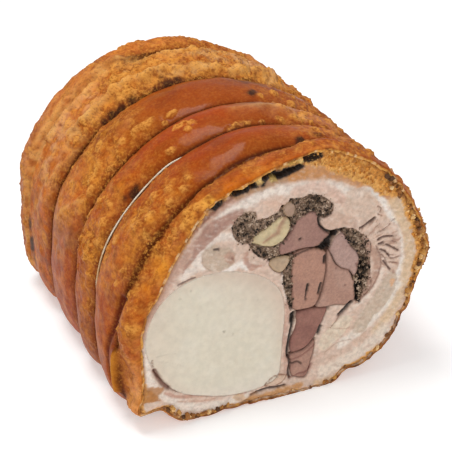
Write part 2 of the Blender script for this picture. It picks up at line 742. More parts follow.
# Each band's tones round the roll: angle, tone low on its near side, tone over its top,
# and how crackled it is. Angles go past 360 to stay in order.
BAND_TONES = (
    (
        (48, 0.36, 0.1, 0.03, 0.27, 0.08, 0.04, 0.5),
        (80, 0.4, 0.105, 0.025, 0.33, 0.1, 0.055, 0.3),
        (105, 0.52, 0.16, 0.02, 0.4, 0.12, 0.06, 0.25),
        (125, 0.52, 0.17, 0.02, 0.37, 0.11, 0.03, 0.3),
        (140, 0.6, 0.27, 0.05, 0.42, 0.15, 0.03, 0.7),
        (160, 0.52, 0.18, 0.03, 0.44, 0.13, 0.03, 0.55),
        (180, 0.47, 0.14, 0.03, 0.42, 0.12, 0.03, 0.45),
        (200, 0.54, 0.2, 0.07, 0.42, 0.13, 0.05, 0.4),
        (214, 0.78, 0.4, 0.15, 0.56, 0.22, 0.07, 0.25),
        (250, 0.42, 0.14, 0.04, 0.36, 0.1, 0.03, 0.3),
        (330, 0.5, 0.17, 0.04, 0.4, 0.11, 0.025, 0.5),
        (390, 0.46, 0.15, 0.04, 0.38, 0.1, 0.03, 0.5),
    ),
    (
        (48, 0.42, 0.12, 0.04, 0.46, 0.17, 0.08, 0.6),
        (72, 0.36, 0.09, 0.02, 0.42, 0.14, 0.06, 0.4),
        (86, 0.28, 0.075, 0.014, 0.37, 0.08, 0.02, 0.05),
        (105, 0.28, 0.075, 0.012, 0.34, 0.062, 0.011, 0),
        (122, 0.33, 0.085, 0.013, 0.35, 0.065, 0.012, 0.05),
        (138, 0.42, 0.13, 0.02, 0.37, 0.085, 0.014, 0.4),
        (152, 0.52, 0.18, 0.03, 0.42, 0.11, 0.02, 0.65),
        (168, 0.46, 0.16, 0.04, 0.45, 0.125, 0.022, 0.35),
        (190, 0.48, 0.21, 0.11, 0.43, 0.15, 0.05, 0.1),
        (208, 0.4, 0.15, 0.06, 0.46, 0.16, 0.05, 0.1),
        (250, 0.38, 0.13, 0.04, 0.4, 0.12, 0.03, 0.3),
        (330, 0.46, 0.15, 0.03, 0.4, 0.1, 0.02, 0.5),
        (390, 0.42, 0.12, 0.025, 0.38, 0.09, 0.02, 0.4),
    ),
    (
        (48, 0.42, 0.14, 0.06, 0.54, 0.24, 0.13, 0.6),
        (66, 0.38, 0.1, 0.04, 0.52, 0.23, 0.12, 0.5),
        (80, 0.33, 0.085, 0.02, 0.42, 0.24, 0.17, 0.1),
        (98, 0.31, 0.08, 0.014, 0.38, 0.075, 0.013, 0),
        (125, 0.33, 0.09, 0.015, 0.36, 0.062, 0.011, 0.05),
        (140, 0.38, 0.11, 0.02, 0.36, 0.062, 0.011, 0.2),
        (156, 0.43, 0.13, 0.03, 0.38, 0.085, 0.018, 0.4),
        (176, 0.52, 0.19, 0.03, 0.45, 0.13, 0.02, 0.75),
        (190, 0.42, 0.16, 0.05, 0.42, 0.12, 0.03, 0.4),
        (205, 0.3, 0.14, 0.08, 0.36, 0.12, 0.04, 0.2),
        (250, 0.38, 0.12, 0.04, 0.38, 0.1, 0.03, 0.3),
        (330, 0.48, 0.17, 0.03, 0.4, 0.1, 0.02, 0.6),
        (390, 0.42, 0.13, 0.03, 0.42, 0.12, 0.04, 0.4),
    ),
    (
        (48, 0.36, 0.12, 0.04, 0.36, 0.12, 0.05, 0.5),
        (66, 0.34, 0.1, 0.03, 0.3, 0.09, 0.05, 0.3),
        (82, 0.34, 0.09, 0.02, 0.28, 0.085, 0.045, 0.05),
        (100, 0.33, 0.085, 0.014, 0.32, 0.074, 0.012, 0),
        (122, 0.32, 0.09, 0.015, 0.36, 0.09, 0.015, 0.05),
        (136, 0.42, 0.14, 0.02, 0.36, 0.12, 0.02, 0.6),
        (155, 0.56, 0.19, 0.03, 0.5, 0.16, 0.03, 0.65),
        (170, 0.58, 0.21, 0.05, 0.54, 0.2, 0.06, 0.4),
        (183, 0.36, 0.16, 0.08, 0.38, 0.17, 0.095, 0.15),
        (198, 0.48, 0.16, 0.055, 0.44, 0.15, 0.07, 0.1),
        (210, 0.4, 0.09, 0.03, 0.42, 0.12, 0.04, 0.1),
        (250, 0.36, 0.11, 0.04, 0.38, 0.11, 0.04, 0.3),
        (330, 0.44, 0.15, 0.03, 0.38, 0.11, 0.03, 0.6),
        (390, 0.42, 0.12, 0.025, 0.4, 0.11, 0.03, 0.5),
    ),
    (
        (48, 0.56, 0.24, 0.07, 0.64, 0.34, 0.18, 0.8),
        (66, 0.6, 0.28, 0.08, 0.68, 0.4, 0.24, 0.9),
        (84, 0.6, 0.26, 0.06, 0.62, 0.32, 0.13, 0.85),
        (105, 0.6, 0.24, 0.05, 0.62, 0.26, 0.06, 0.85),
        (124, 0.62, 0.24, 0.045, 0.6, 0.22, 0.035, 0.85),
        (140, 0.6, 0.22, 0.05, 0.66, 0.29, 0.13, 0.6),
        (156, 0.56, 0.2, 0.05, 0.62, 0.28, 0.13, 0.5),
        (176, 0.56, 0.22, 0.09, 0.62, 0.28, 0.14, 0.25),
        (195, 0.42, 0.15, 0.07, 0.46, 0.17, 0.08, 0.25),
        (208, 0.32, 0.1, 0.06, 0.5, 0.18, 0.07, 0.2),
        (250, 0.42, 0.14, 0.05, 0.44, 0.15, 0.06, 0.3),
        (330, 0.52, 0.2, 0.05, 0.5, 0.18, 0.05, 0.7),
        (390, 0.52, 0.2, 0.05, 0.56, 0.26, 0.11, 0.7),
    ),
    (
        (48, 0.56, 0.2, 0.06, 0.54, 0.19, 0.06, 0.6),
        (90, 0.54, 0.16, 0.035, 0.53, 0.16, 0.035, 0.5),
        (120, 0.52, 0.15, 0.03, 0.53, 0.15, 0.03, 0.5),
        (150, 0.55, 0.19, 0.07, 0.58, 0.22, 0.09, 0.4),
        (185, 0.48, 0.18, 0.08, 0.5, 0.19, 0.08, 0.4),
        (205, 0.38, 0.13, 0.06, 0.34, 0.11, 0.05, 0.4),
        (260, 0.36, 0.11, 0.04, 0.34, 0.1, 0.03, 0.4),
        (330, 0.46, 0.15, 0.04, 0.42, 0.12, 0.03, 0.6),
        (390, 0.5, 0.18, 0.05, 0.46, 0.14, 0.04, 0.6),
    ),
)

# Tinted patches: angle, distance from the cut, half its size round and along the roll,
# tint, strength, and how crackled the patch is.
RIND_PATCHES = (
    (97, 80, 14, 2.6, OLIVE, 0.5, 0),
    (112, 118, 20, 5, OLIVE, 0.45, 0),
    (82, 68, 10, 5.5, (0.56, 0.42, 0.36), 0.55, 0),
    (88, 74, 7, 3, (0.17, 0.1, 0.07), 0.5, 0.05),
    (72, 108, 9, 7, (0.13, 0.05, 0.03), 0.65, 0.1),
    (186, 112, 8, 8, GREY, 0.5, 0.1),
    (188, 128, 14, 9, GREY, 0.6, 0.2),
    (178, 98, 7, 6, (0.28, 0.12, 0.07), 0.5, 0.2),
    (196, 150, 7, 9, GREY, 0.5, 0.2),
    (204, 158, 5, 8, (0.2, 0.075, 0.06), 0.7, 0.1),
    (201, 10, 7, 6, (0.26, 0.09, 0.045), 0.6, 0.05),
    (184, 163, 18, 9, PALE, 0.45, 0.05),
    (176, 142, 12, 5, PINKISH, 0.5, 0.1),
    (133, 111, 9, 5, PINKISH, 0.35, 0.1),
    (158, 118, 9, 7, PINKISH, 0.35, 0.1),
    (126, 88, 7, 5, PINKISH, 0.25, 0),
    (143, 75, 12, 5, PINKISH, 0.25, 0.05),
    (96, 53, 10, 1.6, PINKISH, 0.7, 0.5),
    (66, 55, 10, 4, PALE, 0.5, 0.8),
    (200, 58, 6, 8, (0.24, 0.1, 0.05), 0.5, 0.1),
    (125, 6, 7, 5, (0.34, 0.12, 0.055), 0.7, 0.2),
    (129, 1, 5, 5, (0.84, 0.42, 0.06), 0.85, 0.9),
    (147, 4, 9, 6, (0.36, 0.1, 0.045), 0.7, 0.35),
    (162, 5, 7, 6, (0.78, 0.3, 0.03), 0.8, 0.6),
    (186, 9, 9, 6, (0.32, 0.09, 0.03), 0.6, 0.35),
    (145, 27, 5, 3, (0.26, 0.12, 0.05), 0.5, 0.3),
    (151, 39, 6, 4, (0.62, 0.22, 0.02), 0.5, 0.5),
    (178, 62, 8, 7, (0.66, 0.27, 0.04), 0.6, 0.8),
    (161, 24, 12, 4, (0.3, 0.09, 0.03), 0.45, 0.3),
)

# Popped golden blisters: angle, distance from the cut, half its size round and along.
BLISTERS = (
    (115, 67, 3.6, 3.4), (117, 74, 5.4, 2.8), (113, 70, 2.4, 2.2), (126, 60, 4.6, 2.4),
    (115, 95, 5, 2), (120, 92, 2.4, 1.6), (126, 100, 5.5, 2.4), (131, 102, 4, 2),
    (138, 104, 3.4, 2.4), (93, 52, 3, 1.6), (98, 53, 3.4, 1.6), (86, 51, 2.6, 1.8),
    (78, 52, 3.4, 2), (70, 54, 3, 2.4), (74, 63, 3.4, 3), (64, 60, 4, 3),
    (67, 92, 4, 3), (75, 88, 3, 2), (60, 84, 4, 3.4), (142, 35, 4.4, 3.2),
    (136, 30, 3.4, 2.6), (148, 27, 4.4, 2.6), (139, 22, 3, 2.4), (132, 22, 3.4, 2.6),
    (154, 36, 3.4, 3), (133, 4, 3.2, 2), (142, 5, 4.4, 2.4), (128, 26, 2.4, 2),
    (147, 8, 2.8, 1.8), (158, 7, 2.6, 2.2), (164, 45, 3.4, 4), (170, 52, 3, 3.4),
    (164, 67, 3.6, 3), (172, 66, 3.4, 4.4), (178, 73, 3, 4), (186, 2, 3, 2),
    (176, 28, 3, 2.6), (161, 102, 4.4, 2.6), (150, 98, 3.4, 2.4), (152, 108, 4.4, 3),
    (146, 118, 5, 4), (168, 92, 3.4, 3.4), (104, 142, 4.4, 3), (112, 144, 5.5, 3.6),
    (119, 148, 4.6, 2.6), (127, 149, 4, 3.2), (84, 134, 5, 3), (92, 137, 4, 3),
    (72, 130, 5, 3.4), (62, 133, 5, 3), (120, 165, 4.6, 4), (105, 158, 4.4, 4),
    (136, 158, 4.4, 4), (95, 166, 4, 4), (150, 168, 3.6, 3.4), (58, 165, 5, 4),
    (110, 190, 6, 3), (80, 184, 6, 3.4), (330, 40, 6, 4), (345, 75, 7, 4.4),
    (318, 90, 6, 5), (352, 108, 7, 4), (372, 60, 6, 5), (380, 104, 6, 4),
    (394, 76, 5, 4), (370, 150, 7, 5), (335, 160, 7, 5), (400, 130, 6, 4),
)

# Scorched spots: angle, distance from the cut, half size, strength.
SCORCHES = (
    (107, 131.5, 6.5, 0.97), (102, 131, 4.5, 0.9), (112, 132.5, 3.6, 0.7), (124, 136.5, 4.2, 0.95),
    (130, 138, 5, 0.97), (135, 140, 5.6, 0.95), (139, 141, 4, 0.8), (144, 127, 3.4, 0.5),
    (149, 59.5, 5, 0.97), (152, 62.5, 4, 0.6), (146, 57, 3.4, 0.4), (78, 91, 4.6, 0.8),
    (84, 75, 4, 0.6), (77, 107, 6, 0.5), (79, 19, 4.4, 0.9), (73, 18, 3, 0.6),
    (180, 107, 5, 0.4), (157, 135, 3, 0.5), (197, 184, 4.4, 0.85), (204, 183, 5, 0.9),
    (209, 180, 4, 0.7), (69, 24, 4, 0.5), (64, 100, 3, 0.5), (168, 37, 3.6, 0.4),
    (154, 44, 3.4, 0.35), (340, 120, 6, 0.7), (390, 60, 5, 0.6), (300, 60, 5, 0.5),
    (370, 132, 6, 0.8), (350, 88, 4, 0.5),
)

# Extra folds and dents: path as angle and distance from the cut in turn, half width, height.
RIND_FOLDS = (
    ((52, 134, 65, 130, 80, 131, 92, 136, 106, 143, 118, 147, 130, 150, 144, 153), 4.4, 3.8),
    ((62, 143, 80, 143, 94, 148, 104, 154, 115, 158, 128, 160), 2.6, -3),
    ((118, 177, 135, 180.5, 155, 184, 175, 187, 195, 188, 212, 188), 6, 4.2),
    ((55, 158, 70, 160, 90, 163, 105, 171, 120, 178, 140, 178, 160, 180), 3.6, 2.8),
    ((121, 149, 126, 150), 3, 1.4),
    ((148, 132, 152, 137, 158, 140), 2.6, -2),
    ((152, 126, 158, 128), 2.4, 1.2),
    ((138, 152, 148, 157, 154, 164), 2.6, 1.6),
    ((158, 152, 170, 162, 184, 170), 3, -1.6),
    ((150, 164, 162, 174, 176, 180), 2.4, -1.2),
    ((176, 100, 182, 115, 190, 130), 3.6, -1.4),
    ((166, 104, 172, 116, 180, 130), 3, 1.2),
    ((116, 8, 135, 7, 152, 7, 170, 9), 2, -1.8),
    ((70, 60, 80, 65, 94, 68), 3, 1),
    ((60, 150, 75, 152, 90, 155), 2.2, 1.4),
    ((380, 30, 395, 38, 406, 33), 4, 1.4),
    ((330, 60, 350, 70, 370, 66), 4.5, -1.4),
    ((300, 110, 325, 102, 345, 108), 5, 1.6),
    ((340, 150, 360, 156, 385, 148), 4, 1.8),
)

# The gap between the first two bands low on the left, with a bulge of rind in it.
POCKET = ((180, 20.5, 187, 22, 194, 26, 200, 29.5, 207, 31, 213, 31), 1.9, -2.6)
POCKET_BULGE = ((200, 20.5, 205, 21.6, 212, 22), 2.6, 4.4)


def rim_radius(angles):
    """Radius of the cut rim, with a broken edge along the right side and the foot."""
    broken = 0.35 + 1.05 * soft(facing(angles, 318), -0.2, 0.3)
    drawn_in = 3.2 * soft(facing(angles, 160), 0.84, 0.99)
    ragged = noise(ring_places(MEAN_RADIUS, angles), 6.5, seed=26)
    return read_round(RIM, angles) - drawn_in + broken * ragged


def crease_place(index, angles):
    """Distance from the cut of a crease, or of the far edge after the last."""
    middle, lean = (*CREASES, END_EDGE)[index]
    nearer = 3 * soft(facing(angles, 150), 0.7, 0.98) * (index == 0)
    return middle - nearer + lean * facing(angles, LEAN_TOWARDS)


def crease_depth(angles):
    """How far the creases are drawn in below the bands."""
    return CREASE_DEPTH + humps(CREASE_HUMPS, angles)


def band_crest(band, angles):
    """Radius of a band at its fullest."""
    if band == 0:
        return rim_radius(angles) + FIRST_RISE + humps(FIRST_HUMPS, angles)
    if band == FAR_BAND:
        return read_round(CREST, angles) + humps(END_HUMPS, angles)
    return read_round(CREST, angles)


def roll_radius(band, share, angles):
    """Radius of the roll at a share of a band's width."""
    crest = band_crest(band, angles)
    before = crease_depth(angles)
    after = before
    if band == 0:
        before = crest - rim_radius(angles)
        after = after + crest - read_round(CREST, angles)
    if band == FAR_BAND:
        after = END_CURL
    drop = before if share < 0.5 else after
    return crest - drop * (1 - math.sin(math.pi * share) ** BULGE_POWER)


def angles_round():
    """Angles of the rind's columns, from the start of the fine part round to it again."""
    fine = np.arange(FINE_FROM, FINE_TO, FINE_STEP)
    coarse = np.arange(FINE_TO, FINE_FROM + 360, COARSE_STEP)
    return np.concatenate((fine, coarse))


def on_skin(angles, y):
    """Places on the unrolled rind, in mm."""
    return np.stack(np.broadcast_arrays(angles * SKIN_PER_DEGREE, y), -1)


def skin_path(path):
    """A path of (angle, distance from the cut) laid on the unrolled rind."""
    return smooth_path(np.reshape(path, (-1, 2)) * (SKIN_PER_DEGREE, 1), 4.0)


def spot_mask(skin, angle, along, half_round, half_along, wobble, inner, outer):
    """A soft uneven spot on the unrolled rind."""
    away = (skin - on_skin(np.array(angle), np.array(along))) / (half_round, half_along)
    return 1 - soft(np.hypot(away[:, 0], away[:, 1]) * wobble, inner, outer)


def rind_rows(angles):
    """Rows of the rind from the cut to the far edge: distance, radius, share of a band."""
    rows = []
    for band in range(FAR_BAND + 1):
        start = crease_place(band - 1, angles) if band else np.zeros(len(angles))
        width = crease_place(band, angles) - start
        count = int(round(np.mean(width) / BAND_SPACING)) + 4
        for k in range(count + (band == FAR_BAND)):
            share = (1 - math.cos(math.pi * k / count)) / 2
            share = 0.55 * share + 0.45 * k / count
            rows.append((start + share * width, roll_radius(band, share, angles), share, band))
    return rows


def crackling_roll(tree, material):
    """The whole rind as one closed shell, with its cut rim."""
    angles = angles_round()
    rows = rind_rows(angles)
    steps = len(angles)
    y = np.concatenate([row[0] for row in rows])
    radius = np.concatenate([row[1] for row in rows])
    share = np.repeat([row[2] for row in rows], steps)
    band = np.repeat([row[3] for row in rows], steps)
    around = np.tile(angles, len(rows))
    skin = on_skin(around, y)
    x, z = around_axis(radius, around)
    place = np.stack((x, y, z), 1)
    free = soft(y, 0, 7) * soft(z, 2, 18)
    fullness = np.clip(np.sin(math.pi * share) * 1.2 + 0.2, 0, 1)
    tones, crackle, blister, burnt = rind_tones(place, skin, around, share, band)

    radius += noise(place, 36, seed=3, octaves=2) * 1.4 * free * fullness
    radius += noise(place, 13, seed=4, octaves=2) * (0.4 + 1.5 * crackle) * free * fullness
    radius += ridges(place, 6.5, seed=5) * 1.0 * crackle * free
    broken = 0.25 + 0.75 * soft(noise(place, 7, seed=31, octaves=3), -0.3, 0.5)
    for fold in (*RIND_FOLDS, POCKET, POCKET_BULGE):
        path, width, height = fold
        away = distance_to_path(skin, skin_path(path), reach=3 * width)
        rise = bell(away, width)
        radius += height * rise * free
        if fold in RIND_FOLDS:
            tint = LIT_FOLD if height > 0 else DEEP_FOLD
            paint(tones, rise**3 * broken * min(0.3 + 0.07 * abs(height), 0.55), tint)
    radius += 1.1 * blister * free
    paint(tones, np.minimum(1.3 * burnt, 0.85), (0.13, 0.028, 0.009))
    paint(tones, soft(burnt * (0.6 + 0.6 * broken), 0.3, 0.85) * 0.9, BURNT)
    x, z = around_axis(radius, around, lowest=0.0)
    lateral = to_model(x, y, z)

    rim, rim_tones, rim_crackle = rim_rows(angles)
    inner = inner_rows(angles)
    places = np.vstack((inner, rim, lateral))
    colours = np.vstack((plain(inner, RED_BROWN), rim_tones, tones))
    nothing = np.zeros(len(inner))
    crackles = np.concatenate((nothing, rim_crackle, crackle * soft(y, 0, 4)))
    blisters = np.concatenate((nothing, rim_crackle * 0, blister))
    grid = np.arange(len(places)).reshape(-1, steps)
    wrap = np.roll(grid, -1, axis=1)
    following = np.roll(grid, -1, axis=0)
    following_wrap = np.roll(wrap, -1, axis=0)
    faces = np.stack((grid, wrap, following_wrap, following), -1).reshape(-1, 4)
    polish = 0.03 + 0.17 * soft(around, 140, 105) * np.isin(band, (1, 2, 3))
    polish = np.concatenate((nothing, rim_crackle * 0, polish))
    piece = make_piece(
        "crackling_roll", places, faces, colours, crackle=crackles, popped=blisters, polish=polish
    )
    return put_in_place(run_tree(piece, tree, RIND_RELIEF, material), "rolled_pork")


def ridges(place, size, seed):
    """Sharp-topped noise, about -1 to 1."""
    return 1 - 3 * np.abs(noise(place, size, seed, octaves=3))


def rim_rows(angles):
    """The ragged cut edge of the skin, from its inner edge outwards."""
    outer = rim_radius(angles)
    ring = ring_places(outer, angles)
    ragged = noise(ring, 5.5, seed=23) * (1 + 0.8 * soft(noise(ring, 24, seed=29), -0.2, 0.5))
    low = soft(angles, 219, 226) * soft(angles, 345, 325)
    sunk = 0.7 * low
    rows, tones = [], []
    for share, y, tint, amount in (
        (0.0, 1.2, (0.5, 0.22, 0.05), 1.0),
        (0.12, 0.3, (0.66, 0.34, 0.09), 1.0),
        (0.4, -0.25, (0.68, 0.35, 0.09), 1.0),
        (0.7, -0.2, (0.58, 0.24, 0.05), 1.0),
        (0.9, 0.1, (0.42, 0.12, 0.025), 0.7),
    ):
        inmost = share < 0.3
        radius = outer - SKIN_THICKNESS * (1 - share) + 0.35 * ragged * (share < 0.5)
        x, z = around_axis(radius, angles, lowest=0.0)
        rows.append(to_model(x, y + sunk + (0.7 + sunk) * ragged * amount, z))
        tone = plain(x, tint)
        dapple(tone, ring, 3, 24, 0, 0.6, 0.6, (0.36, 0.12, 0.03))
        dapple(tone, ring, 7, 25, 0, 0.4, 0.75, (0.22, 0.05, 0.012))
        dapple(tone, ring, 5, 26, 0.15, 0.5, 0.7, (0.8, 0.56, 0.32))
        paint(tone, low * 0.95, (0.68, 0.54, 0.42) if inmost else (0.42, 0.2, 0.08))
        edge = low * (0.45 if inmost else 0.9)
        dapple(tone, ring, 6.5, 27, -0.1, 0.3, edge, (0.25, 0.09, 0.03))
        dapple(tone, ring, 3.4, 28, 0.1, 0.4, edge, (0.07, 0.03, 0.018))
        tones.append(tone)
    return np.vstack(rows), np.vstack(tones), np.full(len(rows) * len(angles), 0.5)


def inner_rows(angles):
    """The hidden inner wall of the rind, from the far edge back to the cut."""
    wall = read_round(CREST, angles) - BODY_SHRINK - 4
    rim = read_round(RIM, angles) - SKIN_THICKNESS
    far = crease_place(FAR_BAND, angles)
    end = roll_radius(FAR_BAND, 1.0, angles)
    rows = []
    for y, radius in ((far, end - 2.5), (far - 12, wall), (60, wall), (16, wall), (5, rim - 1.0)):
        x, z = around_axis(radius, angles)
        rows.append(to_model(x, y, z))
    return np.vstack(rows)


def read_band(band, around):
    """The low tone, the top tone and the crackle of a band, at many angles."""
    table = np.array(BAND_TONES[band])
    table = np.vstack((table, table[0]))
    table[-1, 0] += 360
    values = np.stack([np.interp(around, table[:, 0], column) for column in table[:, 1:].T], -1)
    return values[:, :3], values[:, 3:6], values[:, 6]


def band_tones(place, around, share, band):
    """The tones and the crackle of each band, as the table gives them."""
    tones = np.zeros((len(place), 3))
    crackle = np.zeros(len(place))
    for index in range(len(BAND_TONES)):
        here = band == index
        angle = around[here] + 5 * noise(place[here], 16, seed=15, octaves=2)
        low, high = (0.25, 0.85) if index == 0 else (0.12, 0.62)
        up = soft(share[here] + 0.12 * noise(place[here], 9, seed=16), low, high)[:, None]
        low_tone, top_tone, crackle[here] = read_band(index, angle)
        tones[here] = low_tone * (1 - up) + top_tone * up
    tones *= np.array(((1, 0.86, 0.86), (1.04, 1.06, 1.15)))[(band > 3) * 1]
    return tones, crackle


def mottle(tones, crackle, place, around, band):
    """Paints the rind's mottling, from broad to fine. Gives its crackle, and where it is lit."""
    broad = noise(place, 21, seed=19)
    lay(tones, broad, 0, 0.7, 0.6, (0.24, 0.045, 0.007))
    lay(tones, -broad, 0.1, 0.8, 0.35 * (0.1 + crackle), (0.64, 0.26, 0.04))
    patches = noise(place, 12, seed=11)
    crackle = np.clip(crackle + 0.45 * patches * soft(crackle, 0.08, 0.3), 0, 1)
    lay(tones, patches, 0, 0.8, 0.35 * (0.05 + crackle), GOLD)
    lit = soft(noise(place, 8, seed=12), 0.05, 0.8)
    paint(tones, lit * 0.6 * crackle, (0.72, 0.34, 0.09))
    rough = soft(around, 120, 150)
    dark = 0.75 * np.maximum(0.2 + crackle, 0.65 * rough)
    dapple(tones, place, 5, 13, 0.05, 0.6, dark, (0.2, 0.035, 0.005))
    hue = noise(place, 10, seed=30, octaves=2)
    fourth = band == 4
    lay(tones, hue, 0.05, 0.5, 0.5 * rough, (0.42, 0.075, 0.008))
    lay(tones, -hue, 0.1, 0.5, 0.35 * rough, (0.66, 0.26, 0.03))
    lay(tones, hue, 0, 0.5, 0.65 * fourth, (0.55, 0.15, 0.02))
    lay(tones, -hue, 0.15, 0.6, 0.45 * fourth, (0.8, 0.47, 0.2))
    flakes = noise(place, 4, seed=20)
    amount = np.maximum(crackle, 0.5 * rough)
    lay(tones, flakes, 0.05, 0.5, 0.5 * amount, (0.76, 0.31, 0.045))
    lay(tones, -flakes, 0.05, 0.5, 0.5 * amount, (0.26, 0.05, 0.008))
    cracks = soft(ridges(place, 9, seed=21), 0.62, 0.9)
    paint(tones, cracks * 0.6 * amount, (0.14, 0.022, 0.004))
    return crackle, lit


def blister_and_scorch(tones, crackle, place, skin, wobble, lit):
    """Paints the popped blisters. Gives the crackle, the blisters and the scorches."""
    popped = noise(place, 8.5, seed=18) + 0.9 * crackle
    blister = soft(popped, 1, 1.22) * soft(crackle, 0.25, 0.5)
    for angle, along, half_round, half_along in BLISTERS:
        mask = spot_mask(skin, angle, along, half_round, half_along, wobble, 0.75, 1.05)
        blister = np.maximum(blister, mask)
    paint(tones, blister * (0.4 + 0.3 * lit), (0.68, 0.28, 0.05))
    halo = soft(popped, 0.86, 1) * soft(crackle, 0.25, 0.5) * (1 - blister)
    paint(tones, halo * 0.55, (0.28, 0.065, 0.012))
    crackle = np.maximum(crackle, blister * 0.55)
    burnt = np.zeros(len(place))
    for angle, along, half, strength in SCORCHES:
        mask = spot_mask(skin, angle, along, half, half * 0.8, wobble, 0.2, 1.5) * strength
        burnt = np.maximum(burnt, mask)
    return crackle * (1 - 0.9 * burnt), blister * (1 - burnt), burnt


def darken_creases(tones, around, share, band, streaks):
    """Paints the creases dark, with a golden lip on the side towards the cut."""
    edge = np.minimum(share, 1 - share) * np.array(BAND_WIDTHS)[band]
    outer_edge = ((band == 0) & (share < 0.5)) | ((band == FAR_BAND) & (share > 0.5))
    edge = np.where(outer_edge, 20, edge)
    golden = bell(edge - 2.6, 1.1) * (share > 0.5) * soft(streaks, -0.6, 0.4)
    paint(tones, golden * 0.5, GOLD)
    merged = (share > 0.5) * (band == 4) + (share < 0.5) * (band == 5)
    edge += 8 * merged * soft(around, 112, 126) * soft(around, 330, 216)
    near_side = (share < 0.5) * soft(around, 100, 130)
    lay(tones, edge, 8, 1.5, 0.45 * near_side, (0.16, 0.025, 0.006))
    lay(tones, edge, 7, 0.4, 0.6, (0.21, 0.04, 0.008))
    lay(tones, edge, 2.4, 0.3, 0.9, (0.06, 0.01, 0.003))


def rind_tones(place, skin, around, share, band):
    """The rind's painted tones, how crackled it is, its blisters and its scorches."""
    tones, crackle = band_tones(place, around, share, band)
    wobble = 1 + 0.45 * noise(place, 7, seed=14)
    for angle, along, half_round, half_along, tint, strength, crackled in RIND_PATCHES:
        mask = spot_mask(skin, angle, along, half_round, half_along, wobble, 0.2, 1.3)
        paint(tones, mask * strength, tint)
        crackle += (crackled - crackle) * mask
    crackle, lit = mottle(tones, crackle, place, around, band)
    streaks = noise(place * (0.35, 1, 0.35), 3.2, seed=17, octaves=2)
    lay(tones, streaks, 0.2, 0.9, 0.08, PINKISH)
    crackle, blister, burnt = blister_and_scorch(tones, crackle, place, skin, wobble, lit)
    darken_creases(tones, around, share, band, streaks)
    smooth = 1 - np.clip(2.2 * crackle, 0, 1)
    tones *= 1 - smooth[:, None] * (0.07, 0.24, 0.5) - (0, 0, 0.1)
    low = (soft(around, 168, 196) * (band > 0))[:, None]
    tones *= 1 - low * (0.1, 0.26, 0.42)
    bulge = distance_to_path(skin, skin_path(POCKET_BULGE[0])) * wobble
    lay(tones, bulge, 3.6, 1, 0.85, (0.42, 0.135, 0.014))
    lay(tones, bulge, 1.8, 0.2, 0.45, (0.62, 0.25, 0.03))
    pocket = distance_to_path(skin, skin_path(POCKET[0]))
    lay(tones, pocket, 3, 0.9, 0.97, (0.11, 0.01, 0.004))
    return tones, crackle, blister, burnt


# ---- pieces seen in the cut ----


def front_outline(node):
    """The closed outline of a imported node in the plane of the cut, anticlockwise."""
    bm = bmesh.new()
    bm.from_mesh(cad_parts[node].data)
    bmesh.ops.remove_doubles(bm, verts=bm.verts, dist=0.01 * MM)
    flat = {v for v in bm.verts if abs(v.co.y / MM - CUT_PLACE) < 0.02}
    front = {f for f in bm.faces if all(v in flat for v in f.verts)}
    rim = [e for e in bm.edges if sum(f in front for f in e.link_faces) == 1]
    start = rim[0].verts[0]
    chain, at, used = [start], start, set()
    while True:
        edge = next((e for e in at.link_edges if e in rim and e not in used), None)
        if edge is None:
            break
        used.add(edge)
        at = edge.other_vert(at)
        chain.append(at)
    outline = np.array([(v.co.x / MM - AXIS_X, v.co.z / MM) for v in chain[:-1]])
    bm.free()
    following = np.roll(outline, -1, axis=0)
    area = np.sum(outline[:, 0] * following[:, 1] - following[:, 0] * outline[:, 1])
    return outline if area > 0 else outline[::-1]


def even_outline(outline, spacing):
    """The outline with points at about every spacing, its corners kept."""
    points = []
    for start, end in zip(outline, np.roll(outline, -1, axis=0)):
        steps = max(1, int(round(np.linalg.norm(end - start) / spacing)))
        points += [start + (end - start) * k / steps for k in range(steps)]
    return np.array(points)


def fill_outline(outline, spacing, lines=(), rims=()):
    """Triangles inside an outline: an even lattice, finer along the lines and rims given.

    The points of the outline come first in the result, in their order.
    """
    low, high = outline.min(0), outline.max(0)
    rows = np.arange(low[1], high[1], spacing * 0.866)
    grid = []
    for k, z in enumerate(rows):
        xs = np.arange(low[0] + (k % 2) * spacing / 2, high[0], spacing)
        grid.append(np.stack((xs, np.full(len(xs), z)), 1))
    grid = np.vstack(grid)
    grid = grid[depth_inside(grid, outline, reach=spacing) > 0.55 * spacing]
    extra = [grid[:0]]
    for line in lines:
        along = np.gradient(line, axis=0)
        along /= np.maximum(np.linalg.norm(along, axis=1, keepdims=True), 1e-9)
        side = np.stack((-along[:, 1], along[:, 0]), 1) * 0.42
        extra += [line - side, line, line + side]
        grid = grid[distance_to_path(grid, line, reach=3) > 0.42 + 0.45 * spacing]
    for line in rims:
        extra.append(line)
        grid = grid[distance_to_path(grid, line, closed=True, reach=3) > 0.45 * spacing]
    extra = np.vstack(extra)
    extra = extra[depth_inside(extra, outline, reach=spacing) > 0.4 * spacing]
    count = len(outline)
    points = np.vstack((outline, grid, extra))
    edges = [(i, (i + 1) % count) for i in range(count)]
    made = delaunay_2d_cdt([Vector(p) for p in points], edges, [], 0, 1e-4)
    spots = np.array([tuple(v) for v in made[0]])
    faces = np.array([f for f in made[2] if len(f) == 3])
    faces = faces[inside(spots[faces].mean(axis=1), outline)]
    first = {source: i for i, sources in enumerate(made[3]) for source in sources}
    border = [first[i] for i in range(count)]
    rest = np.setdiff1d(np.unique(faces), border)
    order = np.concatenate((border, rest))
    place = np.full(len(spots), -1)
    place[order] = np.arange(len(order))
    faces = place[faces]
    spots = spots[order]
    turn = spots[faces]
    first_run, second_run = turn[:, 1] - turn[:, 0], turn[:, 2] - turn[:, 0]
    clockwise = first_run[:, 0] * second_run[:, 1] - first_run[:, 1] * second_run[:, 0] < 0
    faces[clockwise] = faces[clockwise][:, ::-1]
    return spots, faces


